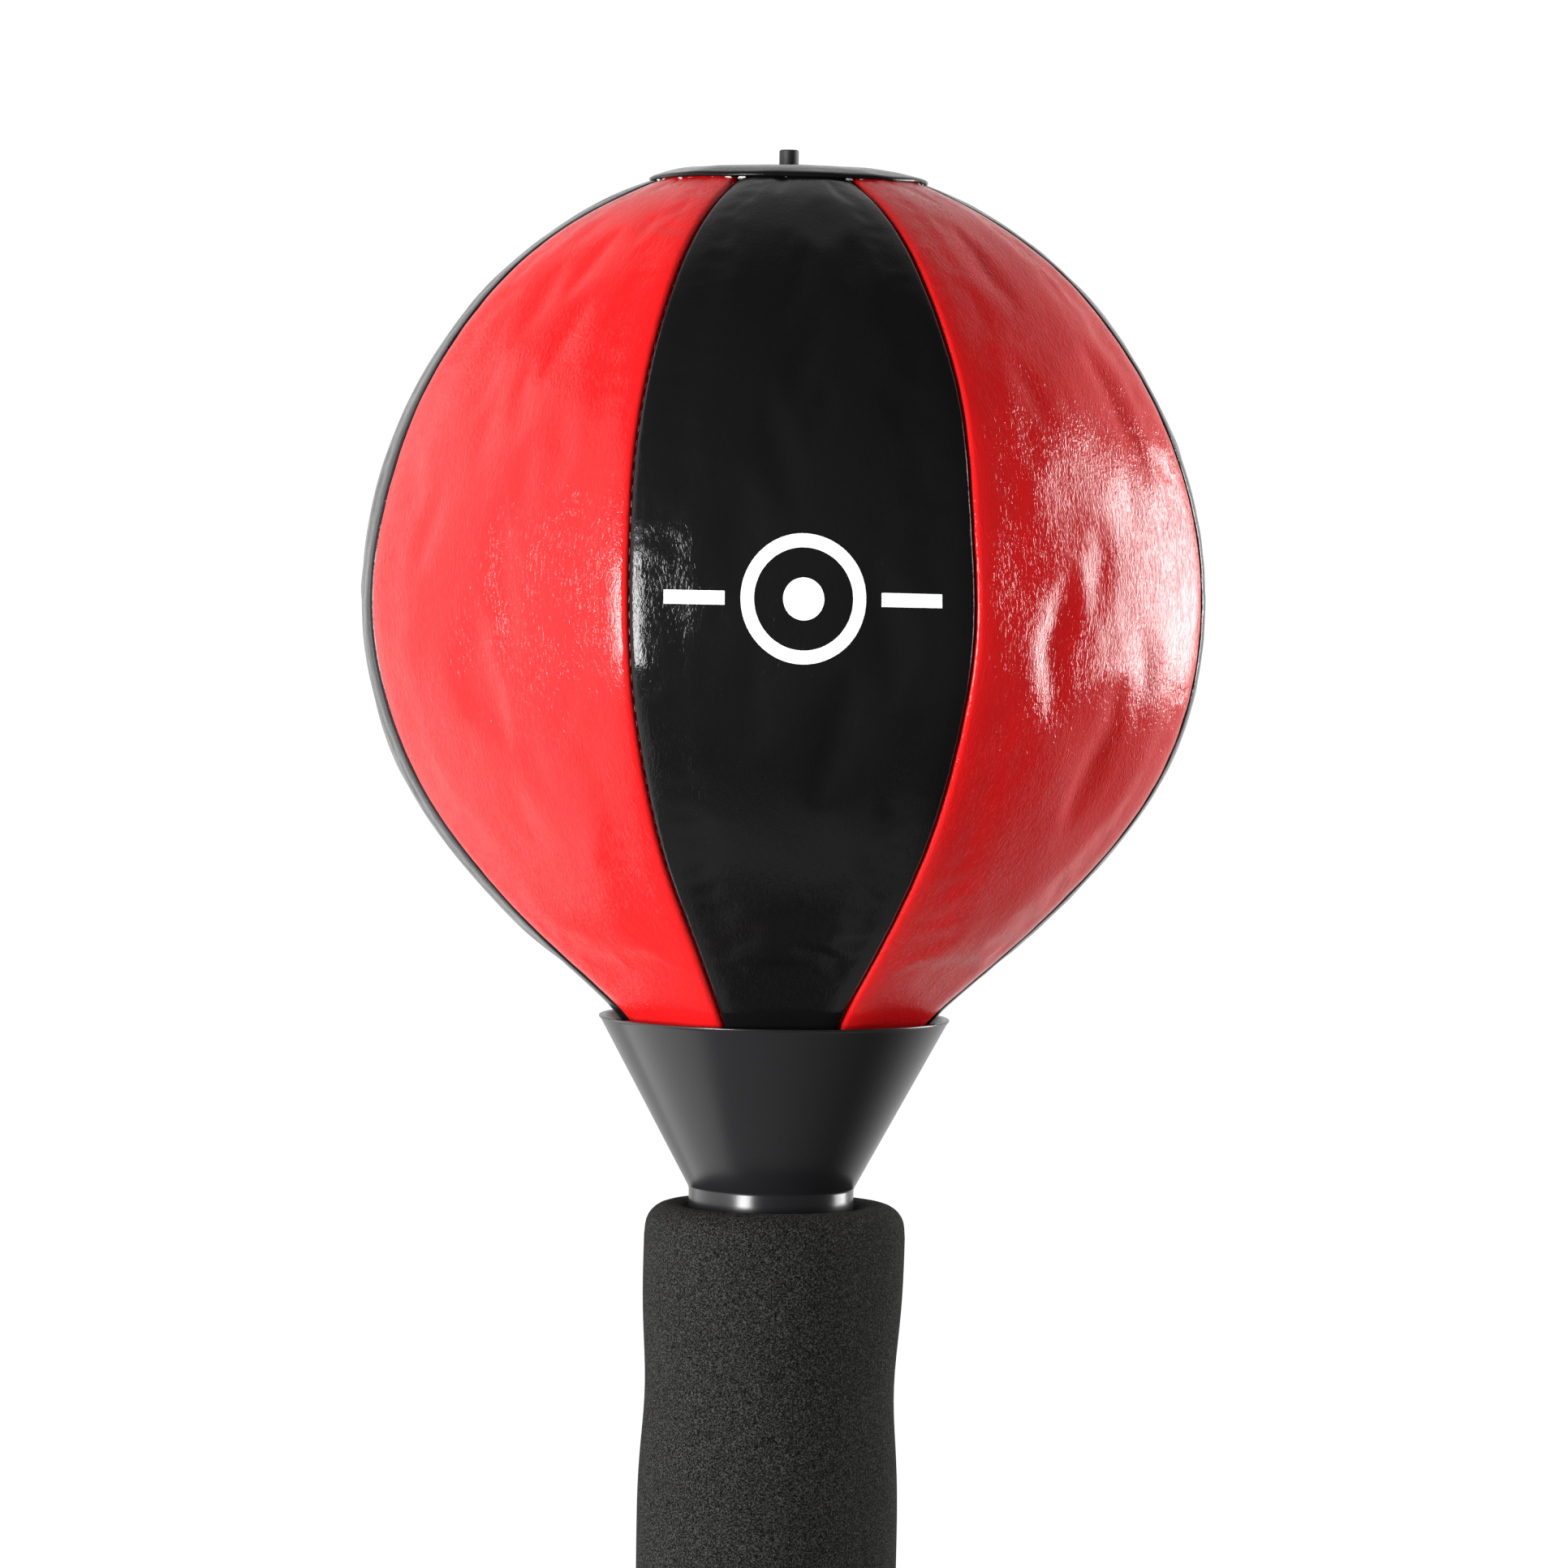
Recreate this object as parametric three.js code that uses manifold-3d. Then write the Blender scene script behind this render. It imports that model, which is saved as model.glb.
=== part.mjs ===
// Free-standing spring reflex bag: an eight-panel inflated ball in a cup, on a close-coiled spring
// inside a foam sleeve, on a telescopic pole that stands in a water-filled base.
// Millimetres, +Z up, the floor at z = 0, the pole on the Z axis, the front towards -Y.

import * as THREE from 'three';
import { mergeVertices } from 'three/addons/utils/BufferGeometryUtils.js';
import Module from 'manifold-3d';

const wasm = await Module();
wasm.setup();

// Driving dimensions

const gap = 0.3; // between pieces that touch
const fineSides = 24; // sides of a round piece that shows
const plainSides = 20; // sides of a small or hidden round piece

const baseRadius = 215;
const baseWall = 4;
const baseFloorZ = 6; // underside of the tank, on top of the feet
const bossTopZ = 138; // top of the tank's middle boss
const fillerReach = 130; // filler neck's distance from the pole
const fillerAngle = 135; // degrees from +X, so it is at the back left
const fillerNeckTopZ = 126;
const footCount = 6;
const footReach = 185;

const lowerPoleRadius = 19;
const lowerPoleBore = 17.2;
const lowerPoleFootZ = 25;
const lowerPoleTopZ = 560;
const upperPoleRadius = 16;
const upperPoleBore = 14.5;
const upperPoleFootZ = 150.3;
const upperPoleTopZ = 718;
const collarTopZ = 606;
const collarRadius = 26;
const knobZ = 583; // height of the clamp screw's axis, which lies along X
const knobRadius = 26;
const crossBoltZ = 700; // the bolt that holds the spring in the upper pole

const foamTopZ = 930;
const foamLength = 300;
const foamRadius = 35.7;
const foamWaistRadius = 34;
const springBore = 23; // bore of the foam round the spring
const coilRadius = 17; // middle of the wire
const wireRadius = 4;
const coilPitch = 8.35;
const coilTurns = 20;

const cupNeckRadius = 22.6;
const cupNeckTopZ = foamTopZ + 4.4;
const cupFloorZ = foamTopZ + 2;
const cupRimZ = foamTopZ + 51.3;
const cupRimRadius = 48;
const cupWall = 2;

const ballCentreZ = foamTopZ + 162; // height of the widest line
const ballRadius = 115; // at the middle of a panel
const ballRise = 123.5; // vertical half-axis of the ball's upper half
const panelCount = 8;
const panelWall = 3;
const seamRise = 0.03; // how much further out a seam lies than a panel's middle
const frontPanelAngle = -87.25; // degrees from +X to the middle of the front panel
const patchRadius = 38.2;
const patchCrownZ = foamTopZ + 284.2;
const valveTopZ = foamTopZ + 288.6;

// Making and cutting solids

const point = (r, z) => new THREE.Vector2(r, z);
const radians = THREE.MathUtils.degToRad;

/** A profile of [radius, height] pairs or points turned about the Z axis. */
function turned(profile, sides = fineSides) {
  const outline = profile.map((p) => (Array.isArray(p) ? point(...p) : p));
  return new THREE.LatheGeometry(outline, sides).rotateX(Math.PI / 2);
}

/** A ring-shaped piece: its profile closes on itself. */
function turnedRing(profile, sides = fineSides) {
  return turned([...profile, profile[0]], sides);
}

/** A tube or plain ring between two radii and two heights. */
function ring(inner, outer, low, high, sides = fineSides) {
  return turnedRing([[inner, low], [outer, low], [outer, high], [inner, high]], sides);
}

/** A solid rod on the Z axis. */
function rod(radius, low, high, sides = plainSides) {
  return turned([[0, low], [radius, low], [radius, high], [0, high]], sides);
}

/** A flat outline, a list of points in XY, raised from one height to another. */
function raised(outline, low, high) {
  const shape = new THREE.Shape(outline);
  const settings = { depth: high - low, bevelEnabled: false };
  return new THREE.ExtrudeGeometry(shape, settings).translate(0, 0, low);
}

/** The corners of a hexagon that is `across` wide over its flats. */
function hexagon(across) {
  const corner = across / Math.sqrt(3);
  return Array.from({ length: 6 }, (_, i) => {
    const angle = (i * Math.PI) / 3;
    return point(corner * Math.cos(angle), corner * Math.sin(angle));
  });
}

/** A closed geometry as a manifold-3d solid. */
function solid(geometry) {
  const bare = geometry.clone();
  bare.deleteAttribute('normal');
  bare.deleteAttribute('uv');
  const merged = mergeVertices(bare, 1e-4);
  const index = merged.index.array;
  const triangles = [];
  for (let i = 0; i < index.length; i += 3) {
    const [a, b, c] = [index[i], index[i + 1], index[i + 2]];
    if (a !== b && b !== c && c !== a) triangles.push(a, b, c);
  }
  const vertProperties = new Float32Array(merged.attributes.position.array);
  const triVerts = new Uint32Array(triangles);
  return new wasm.Manifold(new wasm.Mesh({ numProp: 3, vertProperties, triVerts }));
}

/** A manifold-3d solid back as a geometry. */
function geometryOf(shape) {
  const mesh = shape.getMesh();
  const geometry = new THREE.BufferGeometry();
  geometry.setAttribute('position', new THREE.BufferAttribute(mesh.vertProperties, 3));
  geometry.setIndex(new THREE.BufferAttribute(mesh.triVerts, 1));
  geometry.computeVertexNormals();
  return geometry;
}

/** The geometries in `joined` made one, with those in `cuts` taken away. */
function carved(joined, cuts = []) {
  let shape = solid(joined[0]);
  for (const more of joined.slice(1)) shape = shape.add(solid(more));
  for (const cut of cuts) shape = shape.subtract(solid(cut));
  return geometryOf(shape);
}

/** Turns a piece made along Z so that it lies along X, at a height. */
const alongX = (geometry, z) => geometry.rotateY(Math.PI / 2).translate(0, 0, z);
/** Turns a piece made along Z so that it lies along Y, at a height. */
const alongY = (geometry, z) => geometry.rotateX(-Math.PI / 2).translate(0, 0, z);

/** A named piece with its own material. */
function piece(name, geometry, colour, roughness, metalness = 0) {
  const material = new THREE.MeshStandardMaterial({ color: colour, roughness, metalness });
  const mesh = new THREE.Mesh(geometry, material);
  mesh.name = name;
  return mesh;
}

const redLeather = '#c9282b';
const blackLeather = '#1e1e1f';
const blackPlastic = '#1b1b1c';
const blackRubber = '#242424';
const zincPlate = '#b9bcc0';
const powderCoat = '#202022';

// Base: the tank, its water, its feet and the bolt that holds the pole

const fillerX = fillerReach * Math.cos(radians(fillerAngle));
const fillerY = fillerReach * Math.sin(radians(fillerAngle));
const socketRadius = lowerPoleRadius + 0.5;
const socketFloorZ = 24.5;
const wellRadius = 20; // recess under the tank, for the bolt's head
const wellTopZ = 20;
const boltHoleRadius = 5.5;
const shoulderRadius = 200;
const shoulderZ = 76;
const baseSides = 32;
const stopperZ = 122.5; // underside of the filler cap's stopper
const waterZ = 122; // the tank is filled to the stopper

function makeBase() {
  const outside = turnedRing([
    [boltHoleRadius, wellTopZ], [wellRadius, wellTopZ], [wellRadius, baseFloorZ],
    [203, baseFloorZ], [211.5, 9.5], [baseRadius, 18], [baseRadius, 30], [212, 62], [208, 71],
    [shoulderRadius, shoulderZ], [135, 98], [70, 119], [57, 126], [52, 134], [47, bossTopZ],
    [socketRadius, bossTopZ], [socketRadius, socketFloorZ], [boltHoleRadius, socketFloorZ],
  ], baseSides);
  const hollow = turnedRing([
    [wellRadius + baseWall, baseFloorZ + baseWall], [202, baseFloorZ + baseWall],
    [baseRadius - baseWall, 19], [baseRadius - baseWall, 30], [206, 66], [198, 72.4],
    [134, 94], [69, 115], [53.5, 123], [46, bossTopZ - baseWall],
    [socketRadius + baseWall, bossTopZ - baseWall], [socketRadius + baseWall, socketFloorZ + 3],
    [wellRadius + baseWall, wellTopZ + 3],
  ], baseSides);
  const neck = rod(22, 90, fillerNeckTopZ, 24).translate(fillerX, fillerY, 0);
  const neckBore = rod(18, 84, fillerNeckTopZ + 1, 24).translate(fillerX, fillerY, 0);
  return carved([outside, neck], [hollow, neckBore]);
}

function makeWater() {
  const slack = 0.5; // between the water and the tank
  const inTank = turnedRing([
    [wellRadius + baseWall + slack, baseFloorZ + baseWall + slack],
    [201.5, baseFloorZ + baseWall + slack], [baseRadius - baseWall - slack, 19.3],
    [baseRadius - baseWall - slack, 30], [205.3, 65.5], [197.6, 71.8], [133.8, 93.4],
    [68.7, 114.4], [53, waterZ], [socketRadius + baseWall + slack, waterZ],
    [socketRadius + baseWall + slack, socketFloorZ + 3], [wellRadius + baseWall + slack, wellTopZ + 3],
  ], baseSides);
  const inNeck = rod(17.4, 84, waterZ, 24).translate(fillerX, fillerY, 0);
  return carved([inTank, inNeck]);
}

const base = new THREE.Group();
base.add(piece('base_shell', makeBase(), blackPlastic, 0.5));
base.add(piece('water_fill', makeWater(), '#7c98a4', 0.1));
const trimProfile = [
  [lowerPoleRadius + gap, bossTopZ + gap], [36, bossTopZ + gap], [36, bossTopZ + 4],
  [30, bossTopZ + 10], [lowerPoleRadius + gap, bossTopZ + 12],
];
base.add(piece('base_trim_ring', turnedRing(trimProfile), blackPlastic, 0.35));

const capSkirtZ = 112.5;
const capTopZ = 131.5;
const capGrip = new THREE.BoxGeometry(44, 9, 8).translate(0, 0, capTopZ + 3.5);
const capCup = turned([
  [0, stopperZ], [17.4, stopperZ], [17.4, fillerNeckTopZ + 2.6], [22.5, fillerNeckTopZ + 2.6],
  [22.5, capSkirtZ], [26.5, capSkirtZ],
  [26.5, capTopZ - 1.5], [25, capTopZ], [0, capTopZ],
], 24);
const fillerCap = piece('filler_cap', carved([capCup, capGrip]), redLeather, 0.45);
const gasketRing = ring(18.4, 21.9, fillerNeckTopZ + gap, fillerNeckTopZ + 2.2, 24);
const fillerGasket = piece('filler_gasket', gasketRing, blackRubber, 0.8);
fillerCap.position.set(fillerX, fillerY, 0);
fillerGasket.position.set(fillerX, fillerY, 0);
base.add(fillerCap, fillerGasket);

for (let i = 0; i < footCount; i++) {
  const angle = ((i + 0.5) * 2 * Math.PI) / footCount;
  const pad = turned([[0, 0], [12.5, 0], [14, 1.5], [14, baseFloorZ - gap], [0, baseFloorZ - gap]], 16);
  const foot = piece(`foot_${i + 1}`, pad, blackRubber, 0.85);
  foot.position.set(footReach * Math.cos(angle), footReach * Math.sin(angle), 0);
  base.add(foot);
}

const washerZ = wellTopZ - gap - 2; // underside of the washer
const boltHead = raised(hexagon(17), washerZ - 6.8, washerZ - gap);
const boltShank = rod(5, washerZ - 0.4, 54, 12);
base.add(piece('base_bolt', carved([boltHead, boltShank]), zincPlate, 0.35, 1));
const boltWasher = ring(5.4, 15, washerZ, wellTopZ - gap, plainSides);
base.add(piece('base_washer', boltWasher, zincPlate, 0.35, 1));
const poleFootPlug = ring(5.3, lowerPoleBore - gap, lowerPoleFootZ, 58, plainSides);
base.add(piece('pole_foot_plug', poleFootPlug, zincPlate, 0.4, 1));

// Lower pole and the height clamp on its top

const collarScrewZ = 547;
const collarScrewHole = () => alongY(rod(2.2, -30, 30, 12), collarScrewZ);
const lowerTube = ring(lowerPoleBore, lowerPoleRadius, lowerPoleFootZ, lowerPoleTopZ);
base.add(piece('lower_pole', carved([lowerTube], [collarScrewHole()]), powderCoat, 0.4, 0.3));

const insertStart = 30; // the brass insert's inner end, from the pole's axis
const bossEnd = 44;
const collarBody = turnedRing([
  [lowerPoleRadius + gap, 535], [24.5, 535], [collarRadius, 537], [collarRadius, collarTopZ - 4],
  [23, collarTopZ], [upperPoleRadius + 0.4, collarTopZ], [upperPoleRadius + 0.4, lowerPoleTopZ + 0.5],
  [lowerPoleRadius + gap, lowerPoleTopZ + 0.5],
]);
const collarBoss = alongX(rod(12, 20, bossEnd, 20), knobZ);
const studHole = alongX(rod(4.5, 10, 50, 16), knobZ);
const insertHole = alongX(rod(6.8, insertStart - gap, 50, 16), knobZ);
const poleHole = rod(upperPoleRadius + 0.4, lowerPoleTopZ + 0.5, collarTopZ + 5, fineSides);
const collar = carved([collarBody, collarBoss], [poleHole, studHole, insertHole, collarScrewHole()]);
base.add(piece('height_collar', collar, blackPlastic, 0.55));

const insert = alongX(ring(4.3, 6.4, insertStart, bossEnd, 16), knobZ);
base.add(piece('threaded_insert', insert, '#b3945a', 0.35, 1));

for (const [side, turn] of [['front', Math.PI], ['back', 0]]) {
  const profile = [[0, 17.5], [1.9, 17.5], [1.9, 26.3], [4, 26.3], [3.6, 28.4], [2, 29.2], [0, 29.2]];
  const screw = alongY(turned(profile, 12), collarScrewZ).rotateZ(turn);
  base.add(piece(`collar_screw_${side}`, screw, zincPlate, 0.35, 1));
}

// Clamp screw: a star knob moulded round a threaded stud

const knobStart = 50; // the knob's inner face, from the pole's axis
const knobEnd = 72;

function starOutline(lobes, radius, depth) {
  const outline = [];
  for (let i = 0; i < lobes * 8; i++) {
    const angle = (i * 2 * Math.PI) / (lobes * 8);
    const r = radius - depth * (0.5 - 0.5 * Math.cos(lobes * angle));
    outline.push(point(r * Math.cos(angle), r * Math.sin(angle)));
  }
  return outline;
}

const knobStar = raised(starOutline(5, knobRadius, 6), knobStart + 5, knobEnd);
const knobHub = rod(11, knobStart, knobStart + 6, 20);
const knobHole = rod(4.3, knobStart - 1, knobEnd - 4, 16);
const knob = alongX(carved([knobStar, knobHub], [knobHole]), knobZ);
const stud = alongX(rod(4, upperPoleRadius + 0.4, knobEnd - 4 - gap, 16), knobZ);
const clamp = new THREE.Group();
clamp.add(piece('lock_knob', knob, blackPlastic, 0.4));
clamp.add(piece('lock_stud', stud, zincPlate, 0.3, 1));

// Mast: the sliding upper pole, with the plug that the spring is screwed onto

const mast = new THREE.Group();
const crossHole = (radius) => alongY(rod(radius, -30, 30, 12), crossBoltZ);
const upperTube = ring(upperPoleBore, upperPoleRadius, upperPoleFootZ, upperPoleTopZ);
mast.add(piece('upper_pole', carved([upperTube], [crossHole(3.4)]), '#c4c7ca', 0.25, 1));
const glide = turned([
  [0, 143], [15.8, 143], [16.7, 144], [16.7, 150], [14.2, 150], [14.2, 170], [0, 170],
], plainSides);
mast.add(piece('pole_glide', glide, '#d8d6d0', 0.5));

const bottomPlug = turned([
  [0, 678], [14.2, 678], [14.2, upperPoleTopZ + gap], [20.5, upperPoleTopZ + gap], [20.5, 724],
  [11, 724], [11, 762], [9.5, 764], [0, 764],
], plainSides);
mast.add(piece('spring_bottom_plug', carved([bottomPlug], [crossHole(3.4)]), zincPlate, 0.4, 1));
const crossBolt = turned([
  [0, -19.6], [4, -19.6], [5.5, -18.4], [5.5, -16.3], [3, -16.3], [3, 22.4], [0, 22.4],
], 12);
mast.add(piece('cross_bolt', alongY(crossBolt, crossBoltZ), zincPlate, 0.35, 1));
const nutRound = carved([raised(hexagon(10), 16.3, 21.3)], [rod(3.3, 16, 22, 12)]);
mast.add(piece('cross_nut', alongY(nutRound, crossBoltZ), zincPlate, 0.35, 1));

// Spring and the foam sleeve over it, the pieces that bend

class Coil extends THREE.Curve {
  getPoint(t) {
    const angle = t * coilTurns * 2 * Math.PI;
    const z = 724 + gap + wireRadius + 0.3 + t * coilTurns * coilPitch;
    return new THREE.Vector3(coilRadius * Math.cos(angle), coilRadius * Math.sin(angle), z);
  }
}

const wireSection = new THREE.Shape(hexagon(wireRadius * Math.sqrt(3)));
const coilSettings = { steps: coilTurns * 8, extrudePath: new Coil(), bevelEnabled: false };
const spring = new THREE.ExtrudeGeometry(wireSection, coilSettings);
const springTopZ = 900; // under the top plug's flange

const foamFootZ = foamTopZ - foamLength;
const foam = turnedRing([
  [upperPoleRadius + gap, foamFootZ], [30, foamFootZ], [34, foamFootZ + 2.5], [foamRadius, foamFootZ + 8],
  [foamRadius, foamTopZ - 94], [35.1, foamTopZ - 78], [foamWaistRadius, foamTopZ - 52],
  [35.1, foamTopZ - 30], [foamRadius, foamTopZ - 15], [35.2, foamTopZ - 6.5], [33, foamTopZ - 2],
  [29.5, foamTopZ], [springBore, foamTopZ], [springBore, 676], [upperPoleRadius + gap, 668],
]);
const sway = new THREE.Group();
sway.add(piece('spring', spring, '#2b2c2e', 0.35, 1));
sway.add(piece('foam_sleeve', foam, '#202020', 0.95));

// Head: the top plug and the cup that the ball is screwed down into

const head = new THREE.Group();
const tapRadius = 5.3;
const topPlug = turned([
  [0, 860], [9.5, 860], [11, 862], [11, springTopZ], [20.5, springTopZ], [20.5, 906], [16, 906],
  [16, cupFloorZ - 6 - gap], [0, cupFloorZ - 6 - gap],
], plainSides);
const tappedHole = rod(tapRadius, 885, 935, 16);
head.add(piece('spring_top_plug', carved([topPlug], [tappedHole]), zincPlate, 0.4, 1));

const cup = turnedRing([
  [16.4, 906.4], [cupNeckRadius, 906.4], [cupNeckRadius, cupNeckTopZ], [cupRimRadius, cupRimZ],
  [cupRimRadius - cupWall, cupRimZ], [cupNeckRadius - cupWall, cupNeckTopZ], [19.8, cupFloorZ],
  [boltHoleRadius, cupFloorZ], [boltHoleRadius, cupFloorZ - 6], [16.4, cupFloorZ - 6],
], 28);
head.add(piece('cup', cup, blackPlastic, 0.2));
const ballWasher = ring(5.4, 12.5, cupFloorZ + gap, cupFloorZ + 1.6, plainSides);
head.add(piece('ball_washer', ballWasher, zincPlate, 0.4, 1));
const stud10 = rod(5, 888, 939.5, 16);
const plate = turned([
  [0, 937.6], [12.5, 937.6], [13.5, 938.4], [13.5, 940.2], [12.5, 941], [0, 941],
], plainSides);
head.add(piece('ball_base_plate', carved([stud10, plate]), zincPlate, 0.35, 1));

// Ball: eight sewn panels round a rubber bladder

const ballEntry = point(44.3, cupRimZ); // where the ball leaves the cup
const ballNeck = point(17, foamTopZ + 4.8); // where the panels turn in under the base plate
const crownRadius = 36;
const crownTurn = Math.acos(crownRadius / ballRadius);

/** The outside of a panel's middle, from the bottom hole to the top one. */
function ballProfile(lowSteps, highSteps) {
  const bottomHole = point(7, foamTopZ + 4);
  const insideCup = new THREE.QuadraticBezierCurve(
    ballNeck, point(27, foamTopZ + 31), ballEntry,
  );
  const lower = new THREE.CubicBezierCurve(
    ballEntry, point(57.9, foamTopZ + 67.2), point(ballRadius, foamTopZ + 103.6),
    point(ballRadius, ballCentreZ),
  );
  const upper = new THREE.EllipseCurve(0, ballCentreZ, ballRadius, ballRise, 0, crownTurn);
  const crown = upper.getPoint(1);
  return [
    bottomHole,
    ...insideCup.getPoints(3),
    ...lower.getPoints(lowSteps).slice(1),
    ...upper.getPoints(highSteps).slice(1),
    point(22, crown.y + 1.1),
    point(6, crown.y + 1.6),
  ];
}

/** A profile moved inwards, square to itself, by a wall's thickness. */
function inset(profile, wall) {
  return profile.map((p, i) => {
    const before = profile[Math.max(i - 1, 0)];
    const after = profile[Math.min(i + 1, profile.length - 1)];
    const along = after.clone().sub(before).normalize();
    const r = i === 0 || i === profile.length - 1 ? p.x : p.x - wall * along.y;
    return point(r, p.y + wall * along.x);
  });
}

/** How far out a point at this radius and angle lies, as a share of the round shape. */
function octagonal(r, angle) {
  const step = (2 * Math.PI) / panelCount;
  const fromMiddle = angle / step - Math.round(angle / step);
  return 1 + seamRise * Math.min(1, r / 60) * (2 * fromMiddle) ** 2;
}

function makePanels() {
  const outside = ballProfile(6, 5);
  const inside = inset(outside, panelWall).reverse();
  const shell = turnedRing([...outside, ...inside], panelCount * 2);
  const position = shell.attributes.position;
  for (let i = 0; i < position.count; i++) {
    const x = position.getX(i);
    const y = position.getY(i);
    const scale = octagonal(Math.hypot(x, y), Math.atan2(y, x));
    position.setXY(i, x * scale, y * scale);
  }
  const whole = solid(shell);
  const halfStep = Math.PI / panelCount;
  const apex = (gap / 2 + 0.05) / Math.sin(halfStep);
  const reach = 200;
  const wedge = raised([
    point(apex, 0), point(reach, -(reach - apex) * Math.tan(halfStep)),
    point(reach, (reach - apex) * Math.tan(halfStep)),
  ], foamTopZ - 10, foamTopZ + 300);
  return geometryOf(whole.intersect(solid(wedge)));
}

const panelNames = [
  'panel_black_front', 'panel_red_front_right', 'panel_black_right', 'panel_red_back_right',
  'panel_black_back', 'panel_red_back_left', 'panel_black_left', 'panel_red_front_left',
];
const panelShape = makePanels();
panelNames.forEach((name, i) => {
  const colour = name.includes('red') ? redLeather : blackLeather;
  const panel = piece(name, panelShape.clone(), colour, 0.35);
  panel.rotation.z = radians(frontPanelAngle + (i * 360) / panelCount);
  head.add(panel);
});

const bladderWall = 1.5;
const bladderGap = 2; // between the panels' inside and the bladder
const bladderNeckZ = foamTopZ + 272;
const bladderFootZ = foamTopZ + 32;

/** The bladder's skin, this far inside the outside of the panels. */
function bladderSkin(depth, neckRadius, neckZ) {
  const round = inset(ballProfile(6, 5), depth).slice(3, -2);
  return [point(0, bladderFootZ + depth), ...round, point(neckRadius, neckZ)];
}

const bladderOutside = bladderSkin(panelWall + bladderGap, 6, bladderNeckZ);
const bladderInside = bladderSkin(panelWall + bladderGap + bladderWall, 3.6, bladderNeckZ - 2);
const bladderLip = point(3.6, bladderNeckZ);
const bladder = turned([...bladderOutside, bladderLip, ...bladderInside.reverse()], 16);
head.add(piece('bladder', bladder, '#3a3330', 0.7));

const valveStem = turned([
  [0, bladderNeckZ - 4], [3.2, bladderNeckZ - 4], [3.2, bladderNeckZ + 0.4], [5.2, bladderNeckZ + 0.4],
  [5.2, bladderNeckZ + 2.5], [2.45, bladderNeckZ + 4], [2.45, valveTopZ - 0.8], [1.6, valveTopZ],
  [0, valveTopZ],
], 16);
head.add(piece('valve_stem', valveStem, blackRubber, 0.6));

const patch = turnedRing([
  [3, foamTopZ + 281.5], [22, foamTopZ + 280.9], [36, foamTopZ + 279.9], [37.4, foamTopZ + 279.2],
  [patchRadius, foamTopZ + 280], [37.4, foamTopZ + 281.4], [34, foamTopZ + 282.4],
  [21, foamTopZ + 283.4], [3, patchCrownZ],
]);
head.add(piece('top_patch', patch, blackLeather, 0.35));

const reflexBag = new THREE.Group();
reflexBag.add(base, clamp, mast, sway, head);

export default reflexBag;
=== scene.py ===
"""A free-standing spring reflex bag, put together from the ball down to the feet."""
import math

import bpy
import numpy as np
from mathutils import Matrix, Vector


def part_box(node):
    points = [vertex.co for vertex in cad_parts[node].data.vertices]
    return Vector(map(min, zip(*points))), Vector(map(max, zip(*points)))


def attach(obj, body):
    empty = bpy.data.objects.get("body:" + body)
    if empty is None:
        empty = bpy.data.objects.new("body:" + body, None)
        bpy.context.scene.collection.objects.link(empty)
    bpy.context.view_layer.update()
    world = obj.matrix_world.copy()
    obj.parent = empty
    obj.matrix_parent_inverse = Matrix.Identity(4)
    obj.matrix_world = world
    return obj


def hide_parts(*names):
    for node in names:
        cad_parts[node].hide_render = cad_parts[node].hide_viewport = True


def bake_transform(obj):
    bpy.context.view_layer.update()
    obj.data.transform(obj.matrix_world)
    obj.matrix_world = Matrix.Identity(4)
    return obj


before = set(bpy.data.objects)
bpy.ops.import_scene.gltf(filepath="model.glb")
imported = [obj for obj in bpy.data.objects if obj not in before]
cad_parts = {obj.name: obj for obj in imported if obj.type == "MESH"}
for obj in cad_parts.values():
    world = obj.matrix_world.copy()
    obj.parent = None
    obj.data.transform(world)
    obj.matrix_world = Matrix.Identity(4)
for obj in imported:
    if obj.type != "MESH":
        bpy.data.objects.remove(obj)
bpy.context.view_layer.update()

# Ball panels ------------------------------
# Eight gores of coated leather, red and black in turn, cut from sheet 1.2 mm thick and sewn
# edge to edge inside out, so that each edge rolls down into the seam. The bladder inside
# blows them tight, and they stay flatter between the seams than a true round.

MM = 0.001
FOAM_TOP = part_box("foam_sleeve")[1].z
BALL_RADIUS = 115 * MM  # at the middle of a panel
BALL_RISE = 123.5 * MM  # the upper half is this tall
BALL_CENTRE = FOAM_TOP + 162 * MM  # height of the widest line
SEAM_RISE = 0.034  # how much further out the seams stand, as a share of the radius
SEAM_ANGLES = [25.3, 73.2, 116.5, 160.5, 205.0, 249.5, 292.6, 340.3]  # from -Y towards +X
SEAM_LEANS = [1.5, 0.5, 1.0, -0.5, 1.0, -1.0, -2.0, -2.0]  # further round at the top, in degrees
EDGE_ROLL = 1.6 * MM  # radius of the rolled edge
SHOULDER = 7.5 * MM  # the sheet begins to bend this far from the seam
SHOULDER_BEND = 27 * MM  # and with this radius, until the edge itself rolls in
SEAM_ALLOWANCE = 3.5 * MM  # the sewn edge goes this far in behind the roll
SEAM_GAP = 0.24 * MM
BLOW_ALLOWANCE = 1.2 * MM  # a panel starts this much flatter than it is once blown up
SWELL, WRINKLE, PUCKER = 0.5 * MM, 0.1 * MM, 0.12 * MM  # unevenness of the blown sheet
SEAM_WANDER, SEAM_SWELL = 0.35 * MM, 0.45 * MM  # a hand-guided seam, sideways and outwards
SHEET_THICKNESS = 1.2 * MM
PANEL_ROWS = 132
RED_LEATHER = "#E51B1D"
BLACK_LEATHER = "#121213"
PRINT_WHITE = "#F4F5F5"
PRINT_HEIGHT = BALL_CENTRE + 5 * MM  # middle of the printed aim mark

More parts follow.
